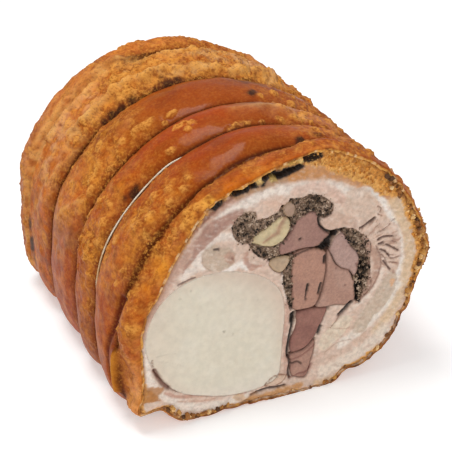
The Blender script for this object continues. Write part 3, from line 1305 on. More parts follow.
def tapered(points, y):
    """Points of an outline drawn in towards the axis with distance from the cut."""
    scale = 1 - FAR_TAPER * y / ROLL_LENGTH
    x = points[:, 0] * scale
    z = AXIS_HEIGHT + (points[:, 1] - AXIS_HEIGHT) * scale
    return x, z


def end_depth(points):
    """Distance from the cut of the domed far end, at points of the cut."""
    x, z = tapered(points, ROLL_LENGTH)
    middle, lean = END_EDGE
    share = np.hypot(x, z - AXIS_HEIGHT) / AXIS_HEIGHT
    leaning = lean * share * facing(angle_at(x, z), LEAN_TOWARDS)
    return middle + leaning + END_DOME * (1 - np.minimum(share, 1) ** 2)


def slab(name, front, depth, colours, far, far_places, far_colours, border, rings=(), **values):
    """A closed piece: a front sheet in the cut, a far sheet, and walls between them.

    Both sheets have as many border points, which come first in each.
    """
    spots, faces = front
    far_spots, far_faces = far
    count, far_count = len(spots), len(far_spots)
    places = [to_model(spots[:, 0], depth, spots[:, 1]), far_places, *rings]
    all_faces = faces.tolist() + (far_faces[:, ::-1] + count).tolist()
    starts = [0, *[count + far_count + k * border for k in range(len(rings))], count]
    for near, past in zip(starts, starts[1:]):
        for i in range(border):
            j = (i + 1) % border
            all_faces.append((near + j, near + i, past + i, past + j))
    tones = np.vstack((colours, far_colours, *[colours[:border] for _ in rings]))
    spread = {}
    for key, value in values.items():
        rest = np.zeros(far_count + border * len(rings))
        spread[key] = np.concatenate((value, rest))
    return make_piece(name, np.vstack(places), all_faces, tones, **spread)


def browned(points, colours, seed):
    """The tones of the far end: the same meat, roasted brown."""
    flat = with_z(points, 7.0)
    dark = colours * np.array((0.66, 0.4, 0.22))
    dapple(dark, flat, 14, seed, -0.3, 0.6, 0.6, (0.34, 0.13, 0.04))
    dapple(dark, flat, 5, seed + 1, 0.1, 0.8, 0.6, (0.13, 0.045, 0.02))
    return dark


def filling(name, node, spacing, look, material, proud, lines=()):
    """A filling that runs through the roll, from its outline in the cut to the far end."""
    outline = even_outline(grown(even_outline(front_outline(node), 2.0), 0.12), spacing * 0.8)
    seams = [line for line in lines if np.any(depth_inside(line, outline) > -2)]
    spots, faces = fill_outline(outline, spacing, seams)
    depth, colours = look(spots, depth_inside(spots, outline))
    open_seams(spots, depth, colours)
    far = fill_outline(outline, FAR_SPACING)
    far_tones = look(far[0], depth_inside(far[0], outline))[1]
    far_y = end_depth(far[0]) + proud + noise(with_z(far[0]), 6, seed=41) * 0.35
    x, z = tapered(far[0], ROLL_LENGTH)
    rings = []
    for share in (0.01, 0.97):
        y = share * end_depth(outline)
        ring_x, ring_z = tapered(outline, y)
        rings.append(to_model(ring_x, y, ring_z))
    piece = slab(
        name, (spots, faces), depth, colours, far, to_model(x, far_y, z),
        browned(far[0], far_tones, 43), len(outline), rings,
    )
    return put_in_place(piece, node, material)


FAT = (0.62, 0.455, 0.36)
WHITE_FAT = (0.76, 0.67, 0.59)
WARM_FAT = (0.6, 0.4, 0.29)

# Bands of fat and muscle in the cut: path as x and z in turn, half width, tint, strength.
FLESH_BANDS = (
    ((-44, 141, -36, 145.6, -26, 148.5, -13, 150.4, 0, 150.6, 13, 149.6, 27, 147, 37, 142.5,
        46, 136), 4, WHITE_FAT, 0.85),
    ((-68, 130, -60, 137.4, -50, 144.4, -40, 149.6, -26, 154), 2.6, (0.46, 0.24, 0.17), 0.7),
    ((-80, 108, -72, 122, -64, 133, -54, 142.6, -44, 149.6, -34, 154.6), 1.5, (0.2, 0.07, 0.035),
        0.85),
    ((-34, 153.6, -26, 155, -13, 157.4, 0, 158.6, 9, 159), 2.8, (0.36, 0.19, 0.085), 0.85),
    ((-75, 112, -66, 122, -56, 132, -46, 139, -36, 143), 2.2, (0.52, 0.33, 0.26), 0.5),
    ((2, 160, 18, 158.6, 32, 154.6, 46, 146.6, 58, 136.4, 68, 130), 5.4, (0.52, 0.22, 0.06), 0.9),
    ((4, 148, 14, 149, 24, 146, 31, 141, 35, 135), 3.6, (0.6, 0.39, 0.3), 0.75),
    ((46, 138, 54, 138, 66, 125, 73, 111, 78, 97, 80, 82, 78, 71, 72, 62),
        2.4, (0.78, 0.71, 0.64), 0.9),
    ((72, 126, 79, 112, 84, 98, 85.5, 84, 84, 70, 80, 56, 74, 44, 66, 33),
        4.4, (0.65, 0.46, 0.28), 0.8),
    ((39, 29, 56, 39, 70, 51, 78, 64), 3.4, (0.76, 0.68, 0.59), 0.85),
    ((22, 12, 32, 12, 46, 17, 61, 23, 71, 32), 5, (0.74, 0.63, 0.52), 0.75),
    ((-91, 79, -95, 66, -95, 52, -92, 38, -84, 26, -72, 15, -58, 9, -42, 7, -28, 9),
        3.4, (0.76, 0.66, 0.57), 0.85),
    ((-61, 115, -56, 121, -50, 127, -42, 128, -34, 126), 2.8, WHITE_FAT, 0.7),
    ((-42, 103.5, -37, 105, -32, 106.5, -27, 104), 2.6, (0.78, 0.72, 0.66), 0.8),
    ((-68, 107, -62, 111, -56, 111), 3, WHITE_FAT, 0.75),
    ((-27, 119, -22, 114, -18, 109, -14, 104, -18, 100), 3.2, (0.58, 0.4, 0.31), 0.6),
    ((-12, 103, -4, 96, -1.5, 86, 0, 74), 2, WHITE_FAT, 0.6),
    ((52, 101, 58, 95, 62.5, 85, 62, 75, 57, 65, 50, 58), 3, (0.42, 0.245, 0.175), 0.85),
    ((64.5, 98, 67.5, 84, 64.5, 71, 56, 60, 45, 54), 1.5, (0.74, 0.6, 0.5), 0.9),
    ((20, 8, 22, 20, 26, 32, 32, 43, 38, 50), 2.6, (0.6, 0.41, 0.32), 0.7),
    ((1, 18, 0, 35, -1, 50, 0, 60, 1, 72), 2.2, (0.5, 0.29, 0.22), 0.75),
    ((-82, 26.5, -74, 21.5, -66, 19.4, -59, 18.4, -49, 16, -39, 14, -28, 11.5),
        1.5, (0.47, 0.25, 0.18), 0.8),
    ((-74, 17.5, -66, 15.5, -59, 13.6, -49, 12.4), 0.8, (0.48, 0.26, 0.18), 0.65),
    ((-25, 4.6, -19, 3.6, -11, 4.2, 0, 5, 10, 5), 2.6, (0.52, 0.25, 0.085), 0.95),
    ((22, 4, 34, 4, 46, 9, 58, 14, 66, 20), 2.2, (0.66, 0.42, 0.2), 0.55),
    ((-97.6, 46, -98.4, 36, -98.6, 26, -98.6, 18), 1, (0.8, 0.62, 0.4), 0.9),
)

# Muscles and pockets of fat in the cut: outline, tint, strength, softness of the edge.
FLESH_REGIONS = (
    ((-99, 60, -92, 88, -80, 108, -70, 122, -62, 130, -50, 140, -58, 128, -68, 114, -78, 100,
        -88, 84, -94, 70), (0.48, 0.29, 0.215), 0.85, 3),
    ((-34, 144, -30, 142.5, -35, 136, -41, 134, -46, 130, -52, 125, -58, 121, -63, 116, -68, 110,
        -70, 108, -68, 114, -64, 119, -62, 125, -60, 131, -55, 137, -49, 141, -44, 142),
        (0.36, 0.195, 0.145), 0.9, 1.8),
    ((-56, 128, -46, 136, -36, 141, -40, 137, -48, 131), (0.3, 0.15, 0.115), 0.6, 2),
    ((-55, 122, -50, 124, -44, 122, -38, 119, -35, 114, -37, 108, -42, 105, -50, 106, -56, 111,
        -57, 118), (0.48, 0.36, 0.265), 0.85, 1.5),
    ((-42, 116, -38, 117, -35, 113, -37, 109, -41, 110), (0.43, 0.235, 0.165), 0.75, 2),
    ((-30, 110, -27, 115, -26, 107, -22, 103.5, -18, 102, -25, 100, -29, 105),
        (0.44, 0.24, 0.175), 0.85, 1.4),
    ((-21, 145, -14, 143, -8, 137, -3, 141, -6, 147, -13, 149), (0.62, 0.41, 0.31), 0.65, 2.5),
    ((26, 128, 21, 122, 25, 117, 32, 114.5, 40, 114, 46, 113, 44, 120, 38, 124, 33, 127),
        (0.56, 0.38, 0.29), 0.85, 1.4),
    ((38, 138, 42, 141, 49, 141, 56, 136, 60, 130, 59, 121, 54, 117, 47, 120, 41, 127),
        (0.6, 0.44, 0.34), 0.8, 1.4),
    ((47, 113, 55, 116, 64, 114, 74, 110, 78, 98, 79, 86, 77, 76, 70, 76, 66, 84, 64, 96,
        56, 104), (0.62, 0.44, 0.34), 0.85, 2),
    ((47, 38, 53, 50, 60, 59, 67, 70, 71, 75, 77, 72, 76, 60, 70, 51, 61, 43, 56, 35, 51, 34),
        (0.52, 0.4, 0.3), 0.9, 1.2),
    ((23, 33, 25, 40, 34, 47, 41, 51, 46, 47, 42, 39, 35, 33, 26, 28), (0.66, 0.54, 0.41),
        0.9, 1.2),
    ((72, 70, 75, 70, 75.5, 66, 73, 65), (0.62, 0.33, 0.16), 0.8, 1.2),
    ((-38, 10, -32, 5, -27, 7, -31, 11), (0.58, 0.36, 0.2), 0.75, 1.2),
    ((-14, 13, -9, 17, -4, 18, 1, 16, -2, 12, -9, 10), (0.62, 0.44, 0.32), 0.9, 1),
    ((-98, 37, -93, 33, -88, 27, -85, 22.5, -90, 22, -95, 23, -98, 25), (0.4, 0.16, 0.035),
        0.95, 0.8),
    ((-97, 34, -94, 31, -92, 28, -95, 27, -97, 29), (0.2, 0.07, 0.02), 0.8, 1.2),
    ((5, 34, 20, 30, 17, 12, 6, 13), (0.44, 0.24, 0.18), 0.5, 2),
)

BLACK = (0.012, 0.007, 0.005)
DARK_SEAM = (0.05, 0.022, 0.016)
BROWN_SEAM = (0.2, 0.095, 0.06)
MEAT_SEAM = (0.12, 0.06, 0.045)

# Seams, cracks and fissures in the cut: path, half width, depth, tint, strength.
SEAMS = (
    ((-90, 53, -89, 46, -86.5, 40), 0.434, 1.2, BROWN_SEAM, 0.72),
    ((-88.5, 45, -86, 39, -83, 33.5, -80, 30), 1.5, 2.2, (0.17, 0.07, 0.045), 0.95),
    ((-80, 30, -76, 26.5, -70, 23.5), 0.31, 0.8, BROWN_SEAM, 0.56),
    ((-72, 102, -68, 103, -65, 104, -61, 104.4), 0.5, 0.8, (0.14, 0.08, 0.06), 0.85),
    ((-97, 58, -96, 56), 0.496, 1.2, BROWN_SEAM, 0.64),
    ((19, 106, 13, 105.6, 6, 104, -1, 100), 0.45, 1, DARK_SEAM, 0.8),
    ((20, 126, 21, 121, 25, 116.5, 30, 114), 0.9, 2.6, BLACK, 0.97),
    ((30, 114.4, 34, 114.6, 38, 114.6), 1, 2.6, BLACK, 0.95),
    ((25.3, 98, 25, 94), 1.1, 2.4, BLACK, 0.95),
    ((23.2, 79, 21.6, 72), 0.95, 2.4, BLACK, 0.9),
    ((24, 47, 22.3, 42), 1.1, 2.4, BLACK, 0.95),
    ((5, 62, 4, 53, 2, 43, 1, 34, 1.4, 30), 1, 2.6, BLACK, 0.97),
    ((4, 61, 3.6, 56), 1.7, 2.8, BLACK, 0.97),
    ((2, 30, 3, 24, 2, 19, 3, 13), 0.9, 2.2, DARK_SEAM, 0.92),
    ((3, 13, 9, 15, 15, 15, 18, 20), 0.6, 1, (0.24, 0.1, 0.075), 0.8),
    ((5, 27, 10, 28, 16, 31, 20, 34), 0.6, 1, (0.24, 0.1, 0.075), 0.7),
    ((37, 52, 41, 55.5, 45, 59.5), 1.3, 3, BLACK, 0.97),
    ((38, 52, 34, 47, 31, 44), 0.31, 1, BROWN_SEAM, 0.68),
    ((49, 112.6, 53, 114.2, 59, 117.4), 0.75, 1.8, (0.1, 0.05, 0.035), 0.95),
    ((63, 107, 67, 108, 70, 110.4), 0.341, 1.3, BROWN_SEAM, 0.76),
    ((71, 112, 73, 113), 0.31, 1, BROWN_SEAM, 0.56),
    ((62, 101, 66, 102.4, 72, 101.6), 0.7, 1.5, MEAT_SEAM, 0.95),
    ((63, 97.6, 66, 98.2), 0.9, 1.5, MEAT_SEAM, 0.95),
    ((68, 96.4, 72, 93.6, 77, 90), 0.6, 1.4, (0.13, 0.065, 0.045), 0.95),
    ((64, 93.6, 67.6, 91.4, 71, 87), 0.65, 1.5, MEAT_SEAM, 0.95),
    ((65, 89.6, 67.4, 87, 69.4, 82.6), 0.372, 1.3, BROWN_SEAM, 0.76),
    ((71.6, 85.6, 74, 84.8, 77.4, 85.4), 0.341, 1.3, BROWN_SEAM, 0.76),
    ((67, 84.6, 69.6, 80.4, 72, 77), 0.7, 1.5, MEAT_SEAM, 0.95),
    ((70, 88.4, 73, 87.4), 0.31, 1, BROWN_SEAM, 0.68),
    ((71, 82.6, 76, 81.4), 0.31, 1, BROWN_SEAM, 0.68),
    ((72, 98.4, 75, 96.6), 0.279, 1, BROWN_SEAM, 0.64),
    ((60, 111, 62.6, 112.4), 0.31, 1, BROWN_SEAM, 0.56),
    ((60.4, 125.4, 63, 123.6, 62.4, 121), 0.31, 1, BROWN_SEAM, 0.68),
    ((61.4, 119.4, 63.6, 118), 0.372, 1, BROWN_SEAM, 0.68),
    ((61, 97, 65, 86, 64, 76, 59, 66, 52, 60), 0.45, 0.8, (0.26, 0.14, 0.1), 0.75),
    ((50, 98, 54, 92, 56.6, 84, 55, 76), 0.5, 0.8, (0.24, 0.12, 0.085), 0.7),
    ((28, 26, 37, 31, 46, 30.6), 0.4, 0.5, (0.42, 0.25, 0.17), 0.6),
    ((29, 45, 36, 42, 44, 40), 0.4, 0.5, (0.5, 0.33, 0.24), 0.6),
    ((-14, 13, -9, 17, -4, 18, 1, 16), 0.45, 0.9, (0.26, 0.11, 0.06), 0.85),
    ((1, 16, -2, 12, -9, 10, -14, 12), 0.45, 0.9, (0.26, 0.11, 0.06), 0.75),
    ((-20, 8.6, -14, 9.6, -6, 8.6, 0, 8.4), 0.8, 2, DARK_SEAM, 0.92),
    ((-24, 8, -20, 8.6), 1, 1.5, (0.2, 0.08, 0.03), 0.9),
    ((-49, 121, -46, 120.4), 0.7, 1, DARK_SEAM, 0.85),
    ((-37.4, 112.4, -36.8, 111.6), 0.8, 0.8, (0.24, 0.12, 0.08), 0.8),
    ((-56.6, 118, -56, 112, -51, 107), 0.4, 0.4, (0.38, 0.26, 0.19), 0.5),
    ((-60.4, 140.6, -63, 136.4, -66, 131), 1.3, 3, (0.16, 0.03, 0.015), 0.95),
    ((-44, 153, -48, 151, -51, 148.4), 1.1, 2, DARK_SEAM, 0.9),
    ((-55, 145, -58, 142.6), 0.8, 1.4, (0.24, 0.09, 0.05), 0.8),
    ((-70, 126, -76, 116, -81, 108, -85, 101), 0.7, 1.4, (0.2, 0.06, 0.025), 0.85),
    ((-85, 101, -89, 93, -93, 85), 0.8, 1.6, (0.12, 0.05, 0.03), 0.85),
    ((-98.4, 72, -98.8, 64, -98.6, 54, -98, 46), 0.9, 2.2, (0.22, 0.09, 0.03), 0.9),
    ((14, 80.6, 13.2, 76), 0.9, 2, BLACK, 0.97),
    ((13, 75, 12.4, 72), 0.5, 1.2, BLACK, 0.9),
    ((12.6, 70.6, 13, 69.8), 0.7, 1, DARK_SEAM, 0.8),
    ((7.4, 114.6, 8.2, 114.8), 0.8, 1.2, DARK_SEAM, 0.95),
    ((-2.6, 118, -1, 116), 0.5, 0.8, DARK_SEAM, 0.6),
    ((40, 73.6, 40.6, 73.2), 0.6, 0.8, (0.2, 0.09, 0.07), 0.6),
    ((33, 88, 33.6, 87.4), 0.6, 0.8, (0.2, 0.09, 0.07), 0.6),
    ((47.4, 87.4, 48.4, 85.4), 0.9, 1, (0.24, 0.12, 0.1), 0.75),
    ((4, 24, 8, 24.4, 11, 22), 0.7, 1.2, DARK_SEAM, 0.8),
    ((-88, 55, -82, 54.6, -75, 54), 0.35, 0.3, (0.52, 0.43, 0.34), 0.6),
    ((-86, 51, -78, 48, -70, 43), 0.35, 0.3, (0.56, 0.47, 0.38), 0.4),
)

# Hollows that open in the cut: outline and depth.
HOLLOWS = (
    ((-22, 168.4, -18, 169.4, -14, 168.6, -12, 166, -9, 164, -7, 163.6, -3, 164.6, 0, 164.6,
        4, 165, 7, 166, 9, 164, 5, 162, 1, 161, -3, 160, -7, 159.4, -11, 160, -14, 161,
        -16, 159.4, -17, 156.6, -18.4, 156.6, -18, 161, -19, 165, -21, 167), 5),
    ((-31, 161, -27, 162.6, -25, 161.4, -22, 159, -21, 156.6, -25, 156.6, -29, 158), 4),
    ((-39, 155, -34, 158, -30, 159, -26, 157.6, -27, 155, -31, 154.6, -35, 153.6), 4),
    ((-50, 148.4, -46, 151.4, -43, 152.4, -44.6, 149.6, -48, 147), 3),
    ((6.4, 170.6, 11, 172, 15, 172.8, 20, 172, 21, 168, 17, 166.6, 11, 166.6, 7, 167.6), 3),
    ((18.6, 106, 21.6, 108, 25, 111, 29, 114, 32, 115.4, 33, 113.4, 29, 109, 27.6, 103.6,
        25.6, 101.4, 23.6, 103.6), 5),
    ((50, 92, 54, 88, 55, 81, 52, 70, 51, 58, 48, 61, 46.6, 72, 48.6, 82), 4.5),
)

# Golden chunks and threads of crackling that cross the hollows: outline, tint, height.
CHUNKS = (
    ((-11, 168, -8, 170, -4, 172, 1, 173, 5, 172, 6.6, 169.6, 7, 166.6, 4, 166.4, 0, 166,
        -3, 166.4, -6, 165.4, -9, 166), (0.5, 0.27, 0.055), 0.6),
    ((-23, 167.4, -20, 165.6, -17.6, 162, -17.6, 157.6, -21, 157.6, -22, 161, -23.6, 163,
        -25, 165), (0.66, 0.44, 0.16), 0.6),
    ((-14, 160.4, -11.6, 161.2, -9, 160.2, -8.6, 158, -12, 157.4), (0.44, 0.29, 0.08), 0.4),
    ((-25, 161.6, -23.6, 163.6, -22.4, 161, -23.6, 159.6), (0.56, 0.36, 0.12), 0.6),
    ((7, 171.6, 5.6, 168, 7.4, 164.6, 8.8, 167.6, 8.8, 171.6), (0.66, 0.42, 0.14), 0.6),
)

# The belly meat whose strands fan out from a centre, and the browned foot of the fold.
FAN_CENTRE = (46.0, 97.0)
FAN_OUTLINE = (48, 114, 60, 117, 74, 111, 79, 98, 80, 84, 76, 72, 66, 78, 62, 92, 52, 104)
FOOT = (-98, 36, -99, 22, -92, 23, -84, 27, -82, 31, -88, 33)
GARLIC_CORE = (-2, 133, -5.4, 128, -7, 124.6, -7.4, 122.6, -11, 121, -16.6, 118)


def skin_depth(spots):
    """Distance in from the skin, and the thickness of the crackling there."""
    angle = angle_at(*spots.T)
    reach = np.hypot(spots[:, 0], spots[:, 1] - AXIS_HEIGHT)
    return rim_radius(angle) - reach, read_round(RIM_THICKNESS, angle), angle


def meat_outline():
    """The inner edge of the skin in the cut, where the crackling and the fat begin."""
    angles = np.arange(0, 360, 0.55)
    radius = rim_radius(angles) - SKIN_THICKNESS + SKIN_LAP
    return np.stack(around_axis(radius, angles, lowest=0.4), 1)


def open_seams(spots, depth, colours):
    """Sinks and darkens the seams, hollows and chunks of the cut, whatever they cross."""
    flat = with_z(spots)
    shake = 0.22 * noise(flat, 2.2, seed=57)
    for path, width, deep, tint, strength in SEAMS:
        line = smooth_path(path, 1.5)
        away = distance_to_path(spots, line, reach=4 * width)
        if away.min() >= 4 * width:
            continue
        away = np.maximum(away + shake, 0)
        depth += 0.7 * deep * bell(away, width)
        paint(colours, np.exp(-((away / (width * 1.1)) ** 4)) * strength, tint)
    edge = 0.5 * noise(flat, 1.8, seed=58)
    for path, deep in HOLLOWS:
        into = depth_inside(spots, path, reach=4)
        if into.max() <= -3.9:
            continue
        depth += soft(into + edge, -0.1, 1.4) * deep
        paint(colours, soft(into + edge, -1.7, -0.4) * 0.7, (0.14, 0.06, 0.025))
        paint(colours, soft(into + edge, -0.8, -0.1) * 0.97, BLACK)
    for path, tint, height in CHUNKS:
        into = depth_inside(spots, path, reach=4)
        if into.max() <= -3.9:
            continue
        mask = soft(into + edge, -0.3, 0.3)
        depth += (height + 0.7 * noise(flat, 2.4, seed=59) - depth) * mask
        paint(colours, mask, tint)
        dapple(colours, flat, 1.8, 60, 0, 0.6, 0.6 * mask, (0.2, 0.1, 0.02))
        dapple(colours, flat, 2.2, 64, 0.2, 0.7, 0.7 * mask, (0.8, 0.62, 0.28))


def fat_and_meat(material, outlines):
    """Fat, belly meat and seams round the fillings: the face of the cut, and the body."""
    outline = meat_outline()
    beds = [even_outline(grown(bed, by), 0.6) for bed in outlines for by in (0.15, -0.5)]
    pits = [even_outline(np.reshape(path, (-1, 2)), 0.6) for path, _ in HOLLOWS]
    spots, faces = fill_outline(outline, FACE_SPACING, seam_lines(), (*beds, *pits))
    depth, colours, crumbs = flesh_look(spots)
    beds_in = np.stack([depth_inside(spots, filled, reach=12) for filled in outlines])
    bed = beds_in.max(axis=0)
    depth += soft(bed, -0.1, 0.4) * 7
    second = np.sort(beds_in[1:], axis=0)[-2]
    narrow = soft(second, -2.4, -1.2)
    depth += narrow * 3.0
    paint(colours, narrow * 0.9, (0.07, 0.03, 0.022))
    paint(colours, soft(beds_in[1:].max(axis=0), -0.6, 0.3) * 0.6, (0.2, 0.1, 0.07))
    open_seams(spots, depth, colours)

    far = fill_outline(outline, FAR_SPACING)
    x, z = tapered(far[0], ROLL_LENGTH)
    reach = np.hypot(x, z - AXIS_HEIGHT)
    angle = angle_at(x, z)
    limit = roll_radius(FAR_BAND, 1.0, angle) - 1.5
    front_limit = (rim_radius(angle) - SKIN_THICKNESS + SKIN_LAP) * (1 - FAR_TAPER)
    squeeze = 1 + (limit / front_limit - 1) * soft(reach / limit, 0.7, 1)
    x, z = x * squeeze, AXIS_HEIGHT + (z - AXIS_HEIGHT) * squeeze
    far_bed = np.full(len(far[0]), -12.0)
    for filled in outlines:
        far_bed = np.maximum(far_bed, depth_inside(far[0], filled, reach=12))
    far_y = end_depth(far[0]) + noise(with_z(far[0], 3.0), 7, seed=46) * 0.5
    far_y -= soft(far_bed, -0.3, 0.4) * 3
    far_places = to_model(x, far_y, z)

    angle = angle_at(*outline.T)
    rings = [to_model(outline[:, 0], 5.0, outline[:, 1])]
    for y, shrink in BODY_RINGS:
        x, z = around_axis(read_round(CREST, angle) - shrink, angle)
        rings.append(to_model(x, y, z))
    piece = slab(
        "fat_and_meat", (spots, faces), depth, colours, far, far_places,
        browned(far[0], flesh_look(far[0])[1], 47), len(outline), rings, porous=crumbs,
    )
    return put_in_place(piece, "rolled_pork", material)


def seam_lines():
    """The seams as smooth lines, for the mesh to follow."""
    return [smooth_path(path, 0.6) for path, *_ in SEAMS]


def flesh_look(spots):
    """Relief and tones of the fat and meat in the cut, and where it is crisp."""
    flat = with_z(spots)
    depth = 0.28 * noise(flat, 12, seed=51) + 0.16 * noise(flat, 3, seed=52)
    colours = plain(spots, FAT)
    dapple(colours, flat, 18, 53, -0.1, 0.7, 0.5, WARM_FAT)
    wobble = noise(flat, 5, seed=54)
    fine = noise(flat, 2.4, seed=55)
    for path, half, tint, strength in FLESH_BANDS:
        away = distance_to_path(spots, smooth_path(path, 2.0), reach=2.2 * half + 2)
        mask = 1 - soft(away + 0.35 * half * wobble + 0.3 * fine, 0.45 * half, 1.45 * half)
        paint(colours, mask * strength, tint)
    for region, tint, strength, edge in FLESH_REGIONS:
        outline = smooth_path(region, 1.5, closed=True)
        into = depth_inside(spots, outline, reach=6) + 0.9 * wobble + 0.4 * fine
        mask = soft(into, -edge / 2, edge / 2)
        paint(colours, mask * strength, tint)
        depth -= 0.3 * mask
    slanted = spots @ np.array(((0.5, 0.3), (0.2, 0.9)))
    fibre = noise(np.column_stack((slanted, depth)), 2.2, seed=62)
    lay(colours, fibre, 0.1, 0.8, 0.3, (0.78, 0.68, 0.59))
    lay(colours, -fibre, 0.15, 0.8, 0.3, (0.4, 0.23, 0.165))
    dapple(colours, flat, 3.4, 56, 0.2, 0.8, 0.3, (0.44, 0.26, 0.19))
    belly_strands(spots, depth, colours, wobble)
    return depth, colours, crisp_rim(spots, flat, depth, colours)


def belly_strands(spots, depth, colours, wobble):
    """Strands that fan out in the belly meat at the right."""
    fan = spots - FAN_CENTRE
    spread = np.arctan2(fan[:, 1], fan[:, 0]) * 26
    strands = noise(np.column_stack((spread, np.hypot(*fan.T) * 0.22, 0 * spread)), 2.3, seed=88)
    fibrous = soft(depth_inside(spots, FAN_OUTLINE, reach=5) + wobble, -1.5, 1.5)
    lay(colours, strands, 0, 0.6, 0.6 * fibrous, (0.66, 0.49, 0.4))
    lay(colours, -strands, 0.1, 0.6, 0.7 * fibrous, (0.33, 0.17, 0.115))
    depth += 0.5 * fibrous * strands


def crisp_rim(spots, flat, depth, colours):
    """The crackling and its roasted edge in the cut. Gives where it is crisp."""
    into, thickness, angle = skin_depth(spots)
    grain = noise(flat, 2.6, seed=65)
    coarse = noise(flat, 6, seed=66)
    crisp = soft(thickness + 1.6 * coarse + 0.7 * grain - into, -0.9, 1.1)
    crisp *= soft(thickness, 2.3, 3.2)
    inner = crisp * soft(into / thickness, 0.55, 1)
    outer = crisp * (1 - soft(into / thickness, 0.35, 0.8))
    paint(colours, crisp * 0.95, (0.62, 0.25, 0.035))
    paint(colours, inner * 0.55, (0.7, 0.39, 0.12))
    paint(colours, outer * 0.6, (0.54, 0.19, 0.015))
    lay(colours, grain, 0.05, 0.6, 0.8 * crisp, (0.84, 0.46, 0.13))
    lay(colours, -grain, 0.1, 0.6, 0.8 * crisp, (0.3, 0.11, 0.022))
    dapple(colours, flat, 1.6, 67, 0.4, 0.65, 0.6 * crisp, (0.16, 0.05, 0.01))
    foot = soft(depth_inside(spots, FOOT, reach=4) + 0.8 * grain, -0.8, 1)
    paint(colours, foot * 0.85, (0.4, 0.16, 0.035))
    right = soft(facing(angle, 8), 0.78, 0.95) * (1 - soft(into + 1.2 * coarse, 3, 5.5))
    paint(colours, right * 0.75, (0.28, 0.115, 0.035))
    lay(colours, grain, 0, 0.4, 0.6 * right, (0.08, 0.04, 0.025))
    low = soft(-np.sin(angle * DEGREE), 0.3, 0.7)
    low *= 1 - soft(into + coarse + 0.5 * grain, 2.4, 4.4)
    paint(colours, low * 0.7, (0.46, 0.22, 0.07))
    lay(colours, coarse, 0.1, 0.6, 0.7 * low, (0.16, 0.07, 0.03))
    depth += crisp * (0.9 * grain + 0.5 * coarse + 0.2)
    edge = 1 - soft(into, SKIN_THICKNESS, SKIN_THICKNESS + 1.6)
    depth += 0.9 * edge
    paint(colours, edge * 0.45, (0.34, 0.13, 0.04))
    return crisp


def loin_look(spots, into):
    """The loin: pale and close, with faint fibres across it."""
    flat = with_z(spots)
    centre = np.array((-46.0, 50.0))
    away = np.hypot(*(spots - centre).T)
    along = np.arctan2(*(spots - centre).T[::-1]) * 22
    fibre = noise(np.column_stack((away * 0.45, along, 0 * away)), 3.0, seed=61)
    depth = 0.12 * noise(flat, 16, seed=62) + 0.06 * fibre + 0.05 * noise(flat, 2, seed=68)
    depth += 0.25 * bell(into, 0.6)
    colours = plain(spots, (0.66, 0.595, 0.475))
    dapple(colours, flat, 26, 63, -0.1, 0.8, 0.5, (0.7, 0.64, 0.53))
    lay(colours, fibre, 0, 0.9, 0.22, (0.57, 0.49, 0.375))
    lay(colours, -fibre, 0.1, 0.9, 0.2, (0.74, 0.69, 0.59))
    dapple(colours, flat, 7, 69, 0.1, 0.9, 0.22, (0.6, 0.51, 0.4))
    lay(colours, into, 9, 0.5, 0.35, (0.63, 0.5, 0.39))
    upper = soft(spots[:, 0] + spots[:, 1], 20, 80) * (1 - soft(into, 2, 24))
    paint(colours, upper * 0.8, (0.59, 0.45, 0.355))
    lay(colours, spots[:, 1], 30, 8, 0.7, (0.72, 0.655, 0.56))
    lay(colours, -spots[:, 0], 60, 88, 0.5, (0.62, 0.51, 0.4))
    lay(colours, into, 1.5, 0.2, 0.4, (0.74, 0.65, 0.56))
    for x, z, size, strength in (
        (-42.5, 61, 0.75, 0.9), (-36.5, 58, 0.6, 0.5), (-37.4, 56.6, 0.5, 0.4),
        (-60, 78, 0.5, 0.3), (-20, 78, 0.5, 0.3), (-71, 92, 0.7, 0.35), (-64, 96, 0.6, 0.35),
    ):
        spot = np.exp(-(((spots - (x, z)) ** 2).sum(1) / size**2))
        depth += 0.5 * spot
        paint(colours, spot * strength, (0.16, 0.1, 0.07))
    return depth, colours


def liver_look(tint, shade):
    """A liver's look: dull and smooth, with a shade that it turns to in places."""
    tint = np.array(tint)

    def look(spots, into):
        flat = with_z(spots)
        depth = 0.25 * noise(flat, 10, seed=71) + 0.09 * noise(flat, 2.2, seed=72)
        depth += 0.8 * bell(into, 0.7) - 0.2
        colours = plain(spots, tint)
        dapple(colours, flat, 16, 70, -0.2, 0.6, 0.6, shade)
        dapple(colours, flat, 6, 73, -0.1, 0.7, 0.35, tint * 1.2)
        dapple(colours, flat, 2.2, 74, 0.05, 0.8, 0.28, tint * 0.66)
        paint(colours, (1 - soft(into, 0.1, 1.3)) * 0.5, tint * 0.4)
        return depth, colours

    return look


def outer_herbs(spots):
    """The outer side of the right-hand stuffing, where there is more meat than herb."""
    return soft(spots[:, 0] + 0.35 * np.abs(spots[:, 1] - 82), 57.5, 61)


def herb_look(spots, _into):
    """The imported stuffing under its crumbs: brown and beige, nearly black in places."""
    flat = with_z(spots)
    fine = noise(flat, 2.0, seed=83)
    depth = 0.6 + 0.6 * fine + 0.5 * noise(flat, 5, seed=82)
    colours = plain(spots, (0.27, 0.17, 0.115))
    paint(colours, soft(fine, 0, 0.5), (0.4, 0.28, 0.2))
    dapple(colours, flat, 1.7, 84, 0.1, 0.5, 0.75, (0.02, 0.013, 0.01))
    dapple(colours, flat, 7, 87, -0.1, 0.6, 0.4, (0.05, 0.033, 0.022))
    outer = outer_herbs(spots)
    outer *= soft(noise(flat, 5, seed=89), -0.7, 0.1)
    paint(colours, outer * 0.85, (0.45, 0.27, 0.2))
    lay(colours, fine, 0.1, 0.5, 0.8 * outer, (0.6, 0.44, 0.35))
    depth -= 0.5 * outer
    return depth, colours


